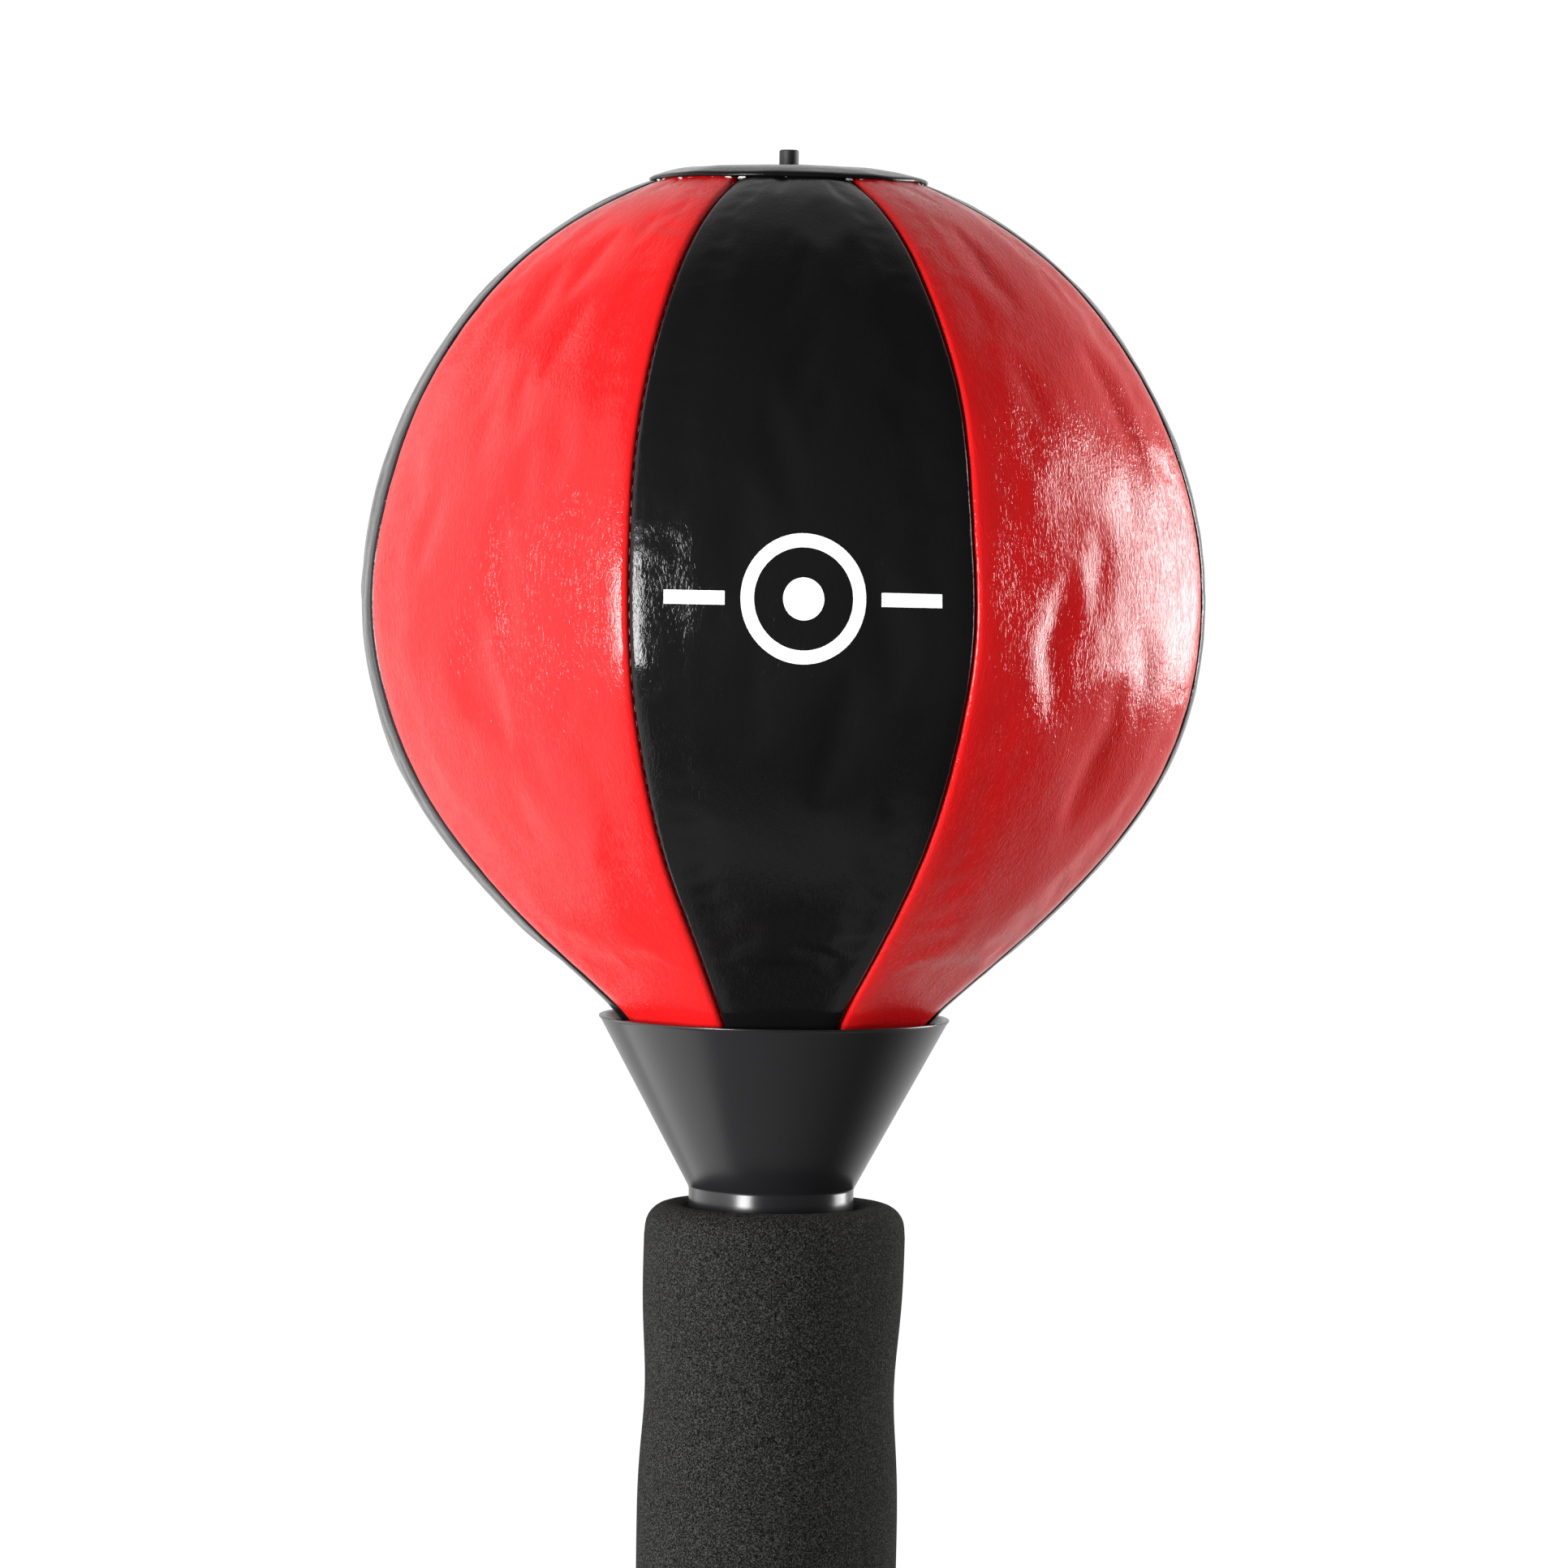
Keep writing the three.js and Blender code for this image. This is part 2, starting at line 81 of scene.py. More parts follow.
PANELS = [  # each panel of the frame, its left seam and its right seam
    ("panel_black_front", 7, 0),
    ("panel_red_front_right", 0, 1),
    ("panel_black_right", 1, 2),
    ("panel_red_back_right", 2, 3),
    ("panel_black_back", 3, 4),
    ("panel_red_back_left", 4, 5),
    ("panel_black_left", 5, 6),
    ("panel_red_front_left", 6, 7),
]


def linear(colour):
    """An sRGB hex value as the linear colour that a shader takes."""
    parts = [int(colour[i:i + 2], 16) / 255 for i in (1, 3, 5)]
    return (*(c / 12.92 if c <= 0.04045 else ((c + 0.055) / 1.055) ** 2.4 for c in parts), 1)


def dimmed(colour, share):
    """The linear colour of an sRGB hex value, made darker."""
    return [c * share for c in linear(colour)[:3]] + [1]


def fill(tree, node, inputs):
    """Fills a node's sockets, each with a value or with a link from another node."""
    for socket, value in inputs.items():
        if isinstance(value, bpy.types.NodeSocket):
            tree.links.new(value, node.inputs[socket])
        else:
            node.inputs[socket].default_value = value


def add_node(tree, kind, inputs=None, **settings):
    """Adds a node with its settings and fills its sockets."""
    node = tree.nodes.new("ShaderNode" + kind)
    for name, value in settings.items():
        setattr(node, name, value)
    fill(tree, node, inputs or {})
    return node


def maths(tree, operation, *values):
    """One step of arithmetic on values or sockets."""
    return add_node(tree, "Math", dict(enumerate(values)), operation=operation).outputs[0]


def spread(tree, value, low, high, start=0.0, end=1.0, easing="LINEAR"):
    """A value that runs from start to end, mapped onto low to high."""
    return add_node(tree, "MapRange", {
        "Value": value, "From Min": start, "From Max": end, "To Min": low, "To Max": high},
        interpolation_type=easing).outputs[0]


def blended(tree, share, first, second):
    """A colour between two, the second where the share is one."""
    return add_node(tree, "Mix", {0: share, 6: first, 7: second}, data_type="RGBA").outputs[2]


def noise(tree, size, detail, stretch=(1, 1, 1), roughness=0.5):
    """Noise fixed to the piece, its grains of a size, and longer where the stretch is small."""
    place = add_node(tree, "TexCoord").outputs["Object"]
    drawn = add_node(tree, "Mapping", {"Vector": place, "Scale": stretch}).outputs[0]
    return add_node(tree, "TexNoise", {
        "Vector": drawn, "Scale": 1 / size, "Detail": detail, "Roughness": roughness}).outputs[0]


def bumped(tree, height, distance, strength=1.0, under=None):
    """A surface raised by a field of heights, on top of another bump where there is one."""
    inputs = {"Height": height, "Distance": distance, "Strength": strength}
    if under is not None:
        inputs["Normal"] = under
    return add_node(tree, "Bump", inputs).outputs[0]


def new_material(name):
    """A material with its node tree and its surface shader."""
    material = bpy.data.materials.new(name)
    material.use_nodes = True
    return material, material.node_tree, material.node_tree.nodes["Principled BSDF"]


def ball_outline():
    """The middle line of a panel as (radius, height), evenly stepped from the cup to the top."""
    def bezier(points, steps):
        """A curve drawn towards its inner points."""
        t = np.linspace(0, 1, steps)[:, None]
        order = len(points) - 1
        terms = [math.comb(order, k) * t ** k * (1 - t) ** (order - k) * np.array(p)
                 for k, p in enumerate(points)]
        return sum(terms)

    widest, centre = BALL_RADIUS / MM, (BALL_CENTRE - FOAM_TOP) / MM
    cup_edge, patch_edge = (43.8, 51.3), 36
    inside_cup = bezier([(17, 4.8), (27, 31), cup_edge], 40)
    lower = bezier([cup_edge, (57.6, 67.2), (widest, 103.6), (widest, centre)], 160)
    turn = np.linspace(0, math.acos(patch_edge / widest), 160)
    upper = np.stack([widest * np.cos(turn), centre + BALL_RISE / MM * np.sin(turn)], 1)
    crown = np.array([(22, upper[-1, 1] + 1.1), (6, upper[-1, 1] + 1.6)])
    line = np.concatenate([[(7, 4)], inside_cup, lower[1:], upper[1:], crown]) * MM
    line[:, 1] += FOAM_TOP
    along = np.concatenate([[0], np.cumsum(np.hypot(*np.diff(line, axis=0).T))])
    even = np.linspace(0, along[-1], PANEL_ROWS)
    return even, np.interp(even, along, line[:, 0]), np.interp(even, along, line[:, 1])


def waves(x, y, wavelength, seed, count=7):
    """A smooth uneven field from -1 to 1: a few plane waves of about one length."""
    rng = np.random.default_rng(seed)
    total = 0
    for _ in range(count):
        heading = rng.uniform(0, 2 * math.pi)
        length = wavelength * rng.uniform(0.75, 1.4)
        phase = rng.uniform(0, 2 * math.pi)
        step = (x * math.cos(heading) + y * math.sin(heading)) / length
        total = total + np.sin(2 * math.pi * step + phase)
    return total / math.sqrt(count * 2)


ALONG, OUTLINE_R, OUTLINE_Z = ball_outline()
SLOPE_R = np.gradient(OUTLINE_R, ALONG)
SLOPE_Z = np.gradient(OUTLINE_Z, ALONG)
ROUND = np.minimum(1, OUTLINE_R / (60 * MM))  # less than one where the panels grow narrow
ROLL = np.minimum(EDGE_ROLL, 0.3 * OUTLINE_R * 2 * math.pi / 16)  # the rolled edge, row by row


def seam_line(seam):
    """The angle and the extra radius of a hand-guided seam at every row of the ball."""
    wander = waves(ALONG, 0 * ALONG, 60 * MM, 40 + seam) * SEAM_WANDER
    height = np.clip((OUTLINE_Z - BALL_CENTRE) / BALL_RISE, -1, 1)
    angle = np.radians(SEAM_ANGLES[seam] + SEAM_LEANS[seam] * height)
    angle = angle + wander / np.maximum(OUTLINE_R, 20 * MM)
    lift = SEAM_RISE * ROUND * OUTLINE_R
    lift = lift + waves(ALONG, 0 * ALONG, 55 * MM, 60 + seam) * SEAM_SWELL * ROUND
    return angle, lift


def new_piece(name, points, faces):
    """A piece at the origin, made of points and faces."""
    mesh = bpy.data.meshes.new(name)
    mesh.from_pydata(points, [], faces)
    piece = bpy.data.objects.new(name, mesh)
    bpy.context.scene.collection.objects.link(piece)
    return piece


def panel_mesh(name, left, right, seed):
    """One gore: rows up the ball, columns across it, its edges rolled in."""
    angle_l, lift_l = seam_line(left)
    angle_r, lift_r = seam_line(right)
    angle_r = np.where(angle_r < angle_l, angle_r + 2 * math.pi, angle_r)
    half = (angle_r - angle_l) / 2 * (OUTLINE_R + (lift_l + lift_r) / 2) - SEAM_GAP / 2
    roll = ROLL[:, None]
    near = np.array([0.0, 0.012, 0.05, 0.12, 0.22, 0.36, 0.54, 0.78, 1.08, 1.5, 2.2, 3.0])
    middle = np.linspace(-1, 1, 27)
    rim = half - near[-1] * ROLL
    columns = [(-half + d * ROLL, d * ROLL) for d in near]
    columns += [(q * rim, half - np.abs(q * rim)) for q in middle[1:-1]]
    columns += [(half - d * ROLL, d * ROLL) for d in near[::-1]]
    across = np.stack([c[0] for c in columns], 1)
    from_seam = np.stack([c[1] for c in columns], 1)

    share = across / half[:, None]
    centre = ((angle_l + angle_r) / 2)[:, None]
    angle = centre + share * ((angle_r - angle_l) / 2)[:, None] * (
        1 - SEAM_GAP / 2 / np.maximum(half, MM)[:, None])
    lift = np.where(share < 0, lift_l[:, None], lift_r[:, None]) * share ** 2
    up = ALONG[:, None] + 0 * share
    free = (1 - share ** 2) * ROUND[:, None]
    lift = lift - free * BLOW_ALLOWANCE
    lift = lift + free * waves(across, up, 45 * MM, seed) * SWELL
    lift = lift + free * waves(across, up * 0.5, 14 * MM, seed + 1) * WRINKLE
    pucker = np.exp(-from_seam / (6 * MM)) * ROUND[:, None] * PUCKER
    lift = lift + pucker * waves(up, across * 0.2, 8 * MM, seed + 2)

    bend = np.clip(roll - from_seam, 0, None)
    depth = roll - np.sqrt(np.clip(roll ** 2 - bend ** 2, 0, None))
    shoulder = np.minimum(SHOULDER, half * 0.4)[:, None]
    depth = depth + np.clip(shoulder - from_seam, 0, None) ** 2 / (2 * SHOULDER_BEND)
    turned_in = depth[:, :1] + SEAM_ALLOWANCE * np.array([[0.35, 1.0]]) * (roll / EDGE_ROLL)
    depth = np.concatenate([turned_in[:, ::-1], depth, turned_in], 1)

    def widen(field):
        """The field with its edge columns repeated for the two columns turned in."""
        return np.concatenate([field[:, :1]] * 2 + [field] + [field[:, -1:]] * 2, 1)

    angle, lift, across = widen(angle), widen(lift), widen(across)

    radius = OUTLINE_R[:, None] + lift - depth * SLOPE_Z[:, None]
    height = OUTLINE_Z[:, None] + depth * SLOPE_R[:, None]
    points = np.stack([radius * np.sin(angle), -radius * np.cos(angle), height + 0 * angle], 2)
    rows, cols = angle.shape
    index = np.arange(rows * cols).reshape(rows, cols)
    faces = np.stack([index[:-1, :-1], index[:-1, 1:], index[1:, 1:], index[1:, :-1]], 2)
    piece = new_piece(name, points.reshape(-1, 3).tolist(), faces.reshape(-1, 4).tolist())
    cut = piece.data.uv_layers.new(name="cut")
    place = np.stack([across, widen(up)], 2).reshape(-1, 2)
    corners = np.zeros(len(piece.data.loops), dtype=np.int32)
    piece.data.loops.foreach_get("vertex_index", corners)
    cut.data.foreach_set("uv", place[corners].astype(np.float32).ravel())
    return piece


def only(piece):
    """Selects one piece and nothing else, and makes it the active one."""
    bpy.ops.object.select_all(action="DESELECT")
    piece.select_set(True)
    bpy.context.view_layer.objects.active = piece


def finish_modifier(piece, kind, **settings):
    """Puts a modifier on a piece and applies it."""
    only(piece)
    modifier = piece.modifiers.new(kind.title(), kind)
    for name, value in settings.items():
        setattr(modifier, name, value)
    bpy.ops.object.modifier_apply(modifier=modifier.name)
    return piece


def coated_leather(name, colour, crease_depth, specular=0.25, aim_mark=False):
    """Synthetic leather with a glossy coat: dents, creases and a fine crinkle, drawn up the
    panel where the sheet was blown tight, which break up each highlight."""
    material, tree, surface = new_material(name)
    cut = add_node(tree, "UVMap", uv_map="cut").outputs["UV"]

    def drawn_noise(width, length, detail, warp):
        """Noise whose grains have a width across the panel and a length up it."""
        drawn = add_node(tree, "Mapping", {
            "Vector": cut, "Scale": (1 / width, 1 / length, 1)}).outputs[0]
        return add_node(tree, "TexNoise", {
            "Vector": drawn, "Scale": 1.0, "Detail": detail, "Distortion": warp},
            noise_dimensions="2D").outputs[0]

    crinkle = drawn_noise(0.9 * MM, 2.2 * MM, 1.5, 1.5)
    crease = drawn_noise(2.4 * MM, 7 * MM, 2.0, 1.0)
    dent = drawn_noise(14 * MM, 14 * MM, 2.0, 0.0)
    patchy = drawn_noise(30 * MM, 30 * MM, 1.0, 0.0)
    fold = maths(tree, "ABSOLUTE", maths(tree, "SUBTRACT", crease, 0.5))
    bump = bumped(tree, dent, 0.12 * MM)
    bump = bumped(tree, fold, crease_depth, 0.8, bump)
    bump = bumped(tree, crinkle, crease_depth, spread(tree, patchy, 0.5, 1.0, 0.35, 0.65), bump)
    shade = blended(tree, dent, linear(colour), dimmed(colour, 0.9))
    if aim_mark:
        shade = printed_over(tree, cut, shade)
    fill(tree, surface, {
        "Base Color": shade, "Roughness": spread(tree, crease, 0.1, 0.18, 0.3, 0.7),
        "Normal": bump, "Specular IOR Level": specular})
    return material


def printed_over(tree, cut, shade):
    """The aim mark, screen printed in white: a ring, a dot, and a bar on each side."""
    ring_radius, ring_line, dot_radius = 15 * MM, 3.6 * MM, 5.5 * MM
    bar_start, bar_end, bar_line = 21 * MM, 37 * MM, 3.6 * MM
    middle = float(np.interp(PRINT_HEIGHT, OUTLINE_Z, ALONG))
    split = add_node(tree, "SeparateXYZ", {"Vector": cut}).outputs
    up = maths(tree, "SUBTRACT", split["Y"], middle)
    side = maths(tree, "ABSOLUTE", split["X"])
    flat = add_node(tree, "CombineXYZ", {"X": side, "Y": up}).outputs[0]
    reach = add_node(tree, "VectorMath", {0: flat}, operation="LENGTH").outputs["Value"]

    def within(value, centre, width):
        """One where the value is within half the width of the centre."""
        return maths(tree, "COMPARE", value, centre, width / 2)

    ring = within(reach, ring_radius, ring_line)
    dot = within(reach, 0.0, dot_radius * 2)
    bars = maths(tree, "MULTIPLY", within(up, 0.0, bar_line),
                 within(side, (bar_start + bar_end) / 2, bar_end - bar_start))
    ink = maths(tree, "MAXIMUM", maths(tree, "MAXIMUM", ring, dot), bars)
    return blended(tree, ink, shade, linear(PRINT_WHITE))


red_leather = coated_leather("red coated leather", RED_LEATHER, 0.15 * MM)
black_leather = coated_leather("black coated leather", BLACK_LEATHER, 0.07 * MM)
front_leather = coated_leather("black coated leather with a print", BLACK_LEATHER, 0.07 * MM,
                               aim_mark=True)

BLADDER_PRESSURE = 4.0
SHEET_SLACK = 0.005  # the sheet is cut this much longer than the form it is blown to
MOST_MOVE = 1.1 * MM  # no point of the sheet goes further than this
CLOTH_FRAMES = 20
ROLLED_COLUMNS = 12  # columns of the mesh that the seam holds at each edge
CUPPED_ROWS = 26  # rows of the mesh inside the cup
EASED_COLUMNS, EASED_ROWS = 5, 6  # over which the hold on the sheet lets go


def blown_up(panels):
    """Lets the bladder press on the sewn panels: a cloth simulation with the edges and the part
    inside the cup held, in which no point may move further than the sheet's slack."""
    for panel in panels:
        held = panel.vertex_groups.new(name="held")
        columns = len(panel.data.vertices) // PANEL_ROWS
        for vertex in panel.data.vertices:
            row, column = divmod(vertex.index, columns)
            from_seam = min(column, columns - 1 - column) - ROLLED_COLUMNS
            from_end = min(row - CUPPED_ROWS, PANEL_ROWS - 3 - row)
            free = max(0.0, min(1.0, from_seam / EASED_COLUMNS, from_end / EASED_ROWS))
            held.add([vertex.index], 1 - free, "REPLACE")
        cloth = panel.modifiers.new("Cloth", "CLOTH")
        cloth.settings.vertex_group_mass = "held"
        cloth.settings.use_pressure = True
        cloth.settings.uniform_pressure_force = BLADDER_PRESSURE
        cloth.settings.shrink_min = -SHEET_SLACK
        cloth.settings.tension_stiffness = 40
        cloth.settings.compression_stiffness = 40
        cloth.settings.bending_stiffness = 1.5
        cloth.settings.effector_weights.gravity = 0
        cloth.collision_settings.use_collision = False
    for moment in range(1, CLOTH_FRAMES + 1):
        bpy.context.scene.frame_set(moment)
    moved = bpy.context.evaluated_depsgraph_get()
    for panel in panels:
        before = np.array([vertex.co for vertex in panel.data.vertices])
        after = np.array([vertex.co for vertex in panel.evaluated_get(moved).data.vertices])
        length = np.linalg.norm(after - before, axis=1, keepdims=True)
        shift = (after - before) * np.minimum(1, MOST_MOVE / np.maximum(length, 0.001 * MM))
        panel.data.vertices.foreach_set("co", (before + shift).astype(np.float32).ravel())
        panel.modifiers.clear()
        panel.vertex_groups.clear()
    bpy.context.scene.frame_set(1)


panels = [panel_mesh("ball_" + node, left, right, seed=10 * number + 3)
          for number, (node, left, right) in enumerate(PANELS)]
blown_up(panels)
for panel, (node, left, right) in zip(panels, PANELS):
    finish_modifier(panel, "SOLIDIFY", thickness=SHEET_THICKNESS, offset=-1)
    finish_modifier(panel, "SUBSURF", levels=1, render_levels=1)
    bpy.ops.object.shade_smooth()
    is_red = "red" in node
    leather = red_leather if is_red else front_leather if node == "panel_black_front" else black_leather
    panel.data.materials.append(leather)
    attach(panel, "bag")
    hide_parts(node)

# Seam thread ------------------------------
# White bonded nylon, sewn along each of the eight seams at six stitches to the inch. It lies
# down in the valley between two rolled edges, so most of it is hidden.

STITCH_PITCH = 4.2 * MM
STITCH_LENGTH = 2.5 * MM
THREAD_RADIUS = 0.28 * MM
THREAD_DEPTH = 2.95 * MM  # below the tops of the rolled edges
THREAD_WHITE = "#DAD8D2"


def editing(on):
    """Goes into the editing of the active piece's mesh, or out of it."""
    bpy.ops.object.mode_set(mode="EDIT" if on else "OBJECT")


def one_stitch():
    """A stitch that lies along X: a short six-sided bar with tapered ends."""
    bpy.ops.mesh.primitive_cylinder_add(
        vertices=6, radius=THREAD_RADIUS, depth=STITCH_LENGTH * 0.6, rotation=(0, math.pi / 2, 0))
    stitch = bpy.context.object
    editing(True)
    for end in (-1, 1):
        bpy.ops.mesh.select_all(action="DESELECT")
        editing(False)
        for face in stitch.data.polygons:
            face.select = len(face.vertices) == 6 and face.normal.z * end > 0.5
        editing(True)
        bpy.ops.mesh.select_mode(type="FACE")
        slant = STITCH_LENGTH * 0.2
        bpy.ops.mesh.extrude_region_move(
            TRANSFORM_OT_translate={"value": (slant * end, 0, -THREAD_RADIUS)})
        tip = (end * STITCH_LENGTH / 2, 0, -THREAD_RADIUS)
        bpy.ops.transform.resize(value=(1, 0.5, 0.5), center_override=tip)
    editing(False)
    bpy.ops.object.transform_apply()
    return stitch


def repeated(name, model, places):
    """Copies of one model at each place, all in one mesh, each a shell of its own."""
    points = np.array([v.co for v in model.data.vertices])
    faces = [list(face.vertices) for face in model.data.polygons]
    all_points, all_faces = [], []
    for place in places:
        first = len(all_points)
        turn = np.array(place)
        all_points += (points @ turn[:3, :3].T + turn[:3, 3]).tolist()
        all_faces += [[first + v for v in face] for face in faces]
    piece = new_piece(name, all_points, all_faces)
    piece.data.shade_smooth()
    return piece


def place_at(middle, along, outwards):
    """A placement that puts X along a direction, with Z outwards."""
    x = Vector(along).normalized()
    y = Vector(outwards).cross(x).normalized()
    z = x.cross(y)
    turn = Matrix((x, y, z)).transposed().to_4x4()
    turn.translation = Vector(middle)
    return turn


def seam_places(seam):
    """Where each stitch of a seam lies, from the cup's rim to the patch."""
    angle, lift = seam_line(seam)
    depth = THREAD_DEPTH * ROLL / EDGE_ROLL
    radius = OUTLINE_R + lift - depth * SLOPE_Z
    height = OUTLINE_Z + depth * SLOPE_R
    first = float(np.interp(FOAM_TOP + 46 * MM, OUTLINE_Z, ALONG))
    last = float(np.interp(FOAM_TOP + 280 * MM, OUTLINE_Z, ALONG))
    line = np.stack([radius * np.sin(angle), -radius * np.cos(angle), height], 1)
    tangent = np.gradient(line, ALONG, axis=0)
    places = []
    for at in np.arange(first, last, STITCH_PITCH):
        middle = [np.interp(at, ALONG, line[:, k]) for k in range(3)]
        along = [np.interp(at, ALONG, tangent[:, k]) for k in range(3)]
        turn = float(np.interp(at, ALONG, angle))
        outwards = (math.sin(turn), -math.cos(turn), 0)
        places.append(place_at(middle, along, outwards))
    return places


thread_nylon, tree, surface = new_material("bonded nylon thread")
ply = add_node(tree, "TexWave", {
    "Vector": add_node(tree, "TexCoord").outputs["Object"], "Scale": 1 / (2 * MM)},
    bands_direction="DIAGONAL")
fill(tree, surface, {
    "Base Color": linear(THREAD_WHITE), "Roughness": spread(tree, ply.outputs["Fac"], 0.4, 0.65)})

stitch = one_stitch()
for seam in range(len(SEAM_ANGLES)):
    thread = repeated(f"seam_thread_{seam + 1}", stitch, seam_places(seam))
    thread.data.materials.append(thread_nylon)
    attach(thread, "bag")

# Top patch --------------------------------
# A disc of the same black leather, its thick edge folded under, sewn down over the ends of
# the panels round the valve. The sheet is uneven where it lies over the seams.

PATCH_SIDES = 96
PATCH_STITCH_RADIUS = 37.3 * MM  # under the folded edge, where it lifts from the ball


def turned(rings, sides, x=0.0, y=0.0):
    """A round piece drawn up ring by ring from (radius, height) pairs in millimetres. Where
    the last ring is the first again the piece closes on itself, and otherwise its ends are flat."""
    rings = [(radius * MM, height * MM) for radius, height in rings]
    first_end = "NOTHING" if rings[0] == rings[-1] else "NGON"
    bpy.ops.mesh.primitive_circle_add(
        vertices=sides, radius=rings[0][0], fill_type=first_end, location=(x, y, rings[0][1]))
    editing(True)
    bpy.ops.mesh.select_mode(type="VERT")
    bpy.ops.mesh.select_all(action="SELECT")
    for (radius, height), (next_radius, next_height) in zip(rings, rings[1:]):
        bpy.ops.mesh.extrude_region_move(
            TRANSFORM_OT_translate={"value": (0, 0, next_height - height)})
        grow = next_radius / radius
        bpy.ops.transform.resize(value=(grow, grow, 1), center_override=(x, y, next_height))
    bpy.ops.mesh.select_all(action="SELECT")
    bpy.ops.mesh.remove_doubles(threshold=0.002 * MM)
    bpy.ops.mesh.normals_make_consistent(inside=False)
    editing(False)
    bpy.ops.object.transform_apply()
    return bpy.context.object


def above(low, rings):
    """The same rings, raised by a height in millimetres."""
    return [(radius, height + low) for radius, height in rings]


def smoothed(sharp=34):
    """Smooths the selected piece, but for edges that turn by more than so many degrees."""
    bpy.ops.object.shade_smooth_by_angle(angle=math.radians(sharp))


def edges_rounded(piece, width, segments=3):
    """Rounds a piece's sharp edges, in millimetres, and smooths what is left."""
    finish_modifier(piece, "BEVEL", width=width * MM, segments=segments,
                    limit_method="ANGLE", angle_limit=math.radians(32))
    smoothed()
    finish_modifier(piece, "WEIGHTED_NORMAL", keep_sharp=True)
    return piece


def cut_map(piece):
    """Lays the piece's surface out as it was cut, seen from above, for the leather's grain."""
    layer = piece.data.uv_layers.new(name="cut")
    for corner in piece.data.loops:
        spot = piece.data.vertices[corner.vertex_index].co
        layer.data[corner.index].uv = (spot.x, spot.y)


patch = turned(above(FOAM_TOP / MM, [
    (3, 281.3), (3, 282.7), (5, 282.9), (12, 282.9), (21, 282.8), (27, 282.5), (31, 281.9),
    (34, 281.1), (35.2, 280.7), (37.2, 280.2), (38.2, 279.5), (38.0, 278.8), (37.0, 278.6),
    (35.4, 279.3), (30, 280.2), (22, 280.9), (10, 281.3), (3, 281.3)]), PATCH_SIDES)
patch.name = "ball_top_patch"
unevenness = bpy.data.textures.new("patch unevenness", "CLOUDS")
unevenness.noise_scale = 14 * MM
finish_modifier(patch, "DISPLACE", texture=unevenness, strength=0.7 * MM, mid_level=0.5,
                direction="Z")
finish_modifier(patch, "SUBSURF", levels=1, render_levels=1)
bpy.ops.object.shade_smooth()
cut_map(patch)
patch.data.materials.append(
    coated_leather("black coated leather patch", BLACK_LEATHER, 0.06 * MM, specular=0.16))
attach(patch, "bag")
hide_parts("top_patch")

ring_places = []
stitch_count = round(2 * math.pi * PATCH_STITCH_RADIUS / STITCH_PITCH)
for number in range(stitch_count):
    turn = 2 * math.pi * number / stitch_count
    spot = Vector((math.cos(turn), math.sin(turn), 0)) * PATCH_STITCH_RADIUS
    spot.z = FOAM_TOP + 278.45 * MM
    ring_places.append(place_at(spot, (-math.sin(turn), math.cos(turn), 0), (0, 0, 1)))
patch_thread = repeated("patch_thread", stitch, ring_places)
patch_thread.data.materials.append(thread_nylon)
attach(patch_thread, "bag")
bpy.data.objects.remove(stitch)

# Valve stem -------------------------------
# A moulded rubber stem bonded to the bladder, which comes up through the patch for the pump.
# Its end has the needle's hole.

valve_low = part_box("valve_stem")[0].z / MM
valve_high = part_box("valve_stem")[1].z / MM - 0.8  # worn a little short
valve = turned([
    (3.2, valve_low), (3.2, valve_low + 4.4), (5.2, valve_low + 4.4), (5.2, valve_low + 6.5),
    (2.65, valve_low + 8), (2.65, valve_high - 0.4), (2.5, valve_high - 0.1), (2.2, valve_high),
    (1.3, valve_high), (1.05, valve_high - 0.4), (1.0, valve_high - 5)], 32)
edges_rounded(valve, 0.2)


def moulded(name, colour, rough, grain_size, grain_depth, cloud_size=30 * MM):
    """A moulded surface: one colour that drifts a little, with the pressed grain of its mould."""
    material, tree, surface = new_material(name)
    cloud = noise(tree, cloud_size, 4.0)
    fill(tree, surface, {
        "Base Color": blended(tree, cloud, linear(colour), dimmed(colour, 0.8)),
        "Roughness": spread(tree, cloud, rough * 0.85, rough * 1.15, 0.3, 0.7),
        "Normal": bumped(tree, noise(tree, grain_size, 3.0), grain_depth)})
    return material


def finished(piece, name, material):
    """Names a piece that has its shape, and gives it its surface."""
    piece.name = name
    piece.data.materials.append(material)


black_rubber = moulded("black moulded rubber", "#1C1C1C", 0.6, 0.5 * MM, 0.03 * MM)
finished(valve, "valve_stem_rubber", black_rubber)
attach(valve, "bag")
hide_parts("valve_stem")

# Cup --------------------------------------
# Injection-moulded ABS with a polished outside: a cone that takes the ball's narrow end, on a
# short neck that stands in the foam. It is screwed down between the ball and the spring.

cup_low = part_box("cup")[0].z / MM
foam_top = FOAM_TOP / MM
cup = turned([(16.4, cup_low), (22.6, cup_low)] + above(foam_top, [
    (22.6, 4), (22.9, 4.9), (35, 27.3), (47.4, 50.2), (48, 50.8), (47.9, 51.3), (46.4, 51.3),
    (45.7, 50.6), (33, 27), (20.6, 4.4), (19.8, 2), (5.5, 2), (5.5, -4), (16.4, -4)])
    + [(16.4, cup_low)], 128)
edges_rounded(cup, 0.25)
polished_abs = moulded("polished black ABS", "#1C1C1E", 0.24, 0.5 * MM, 0.006 * MM)
finished(cup, "ball_cup", polished_abs)
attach(cup, "bag")
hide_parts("cup")
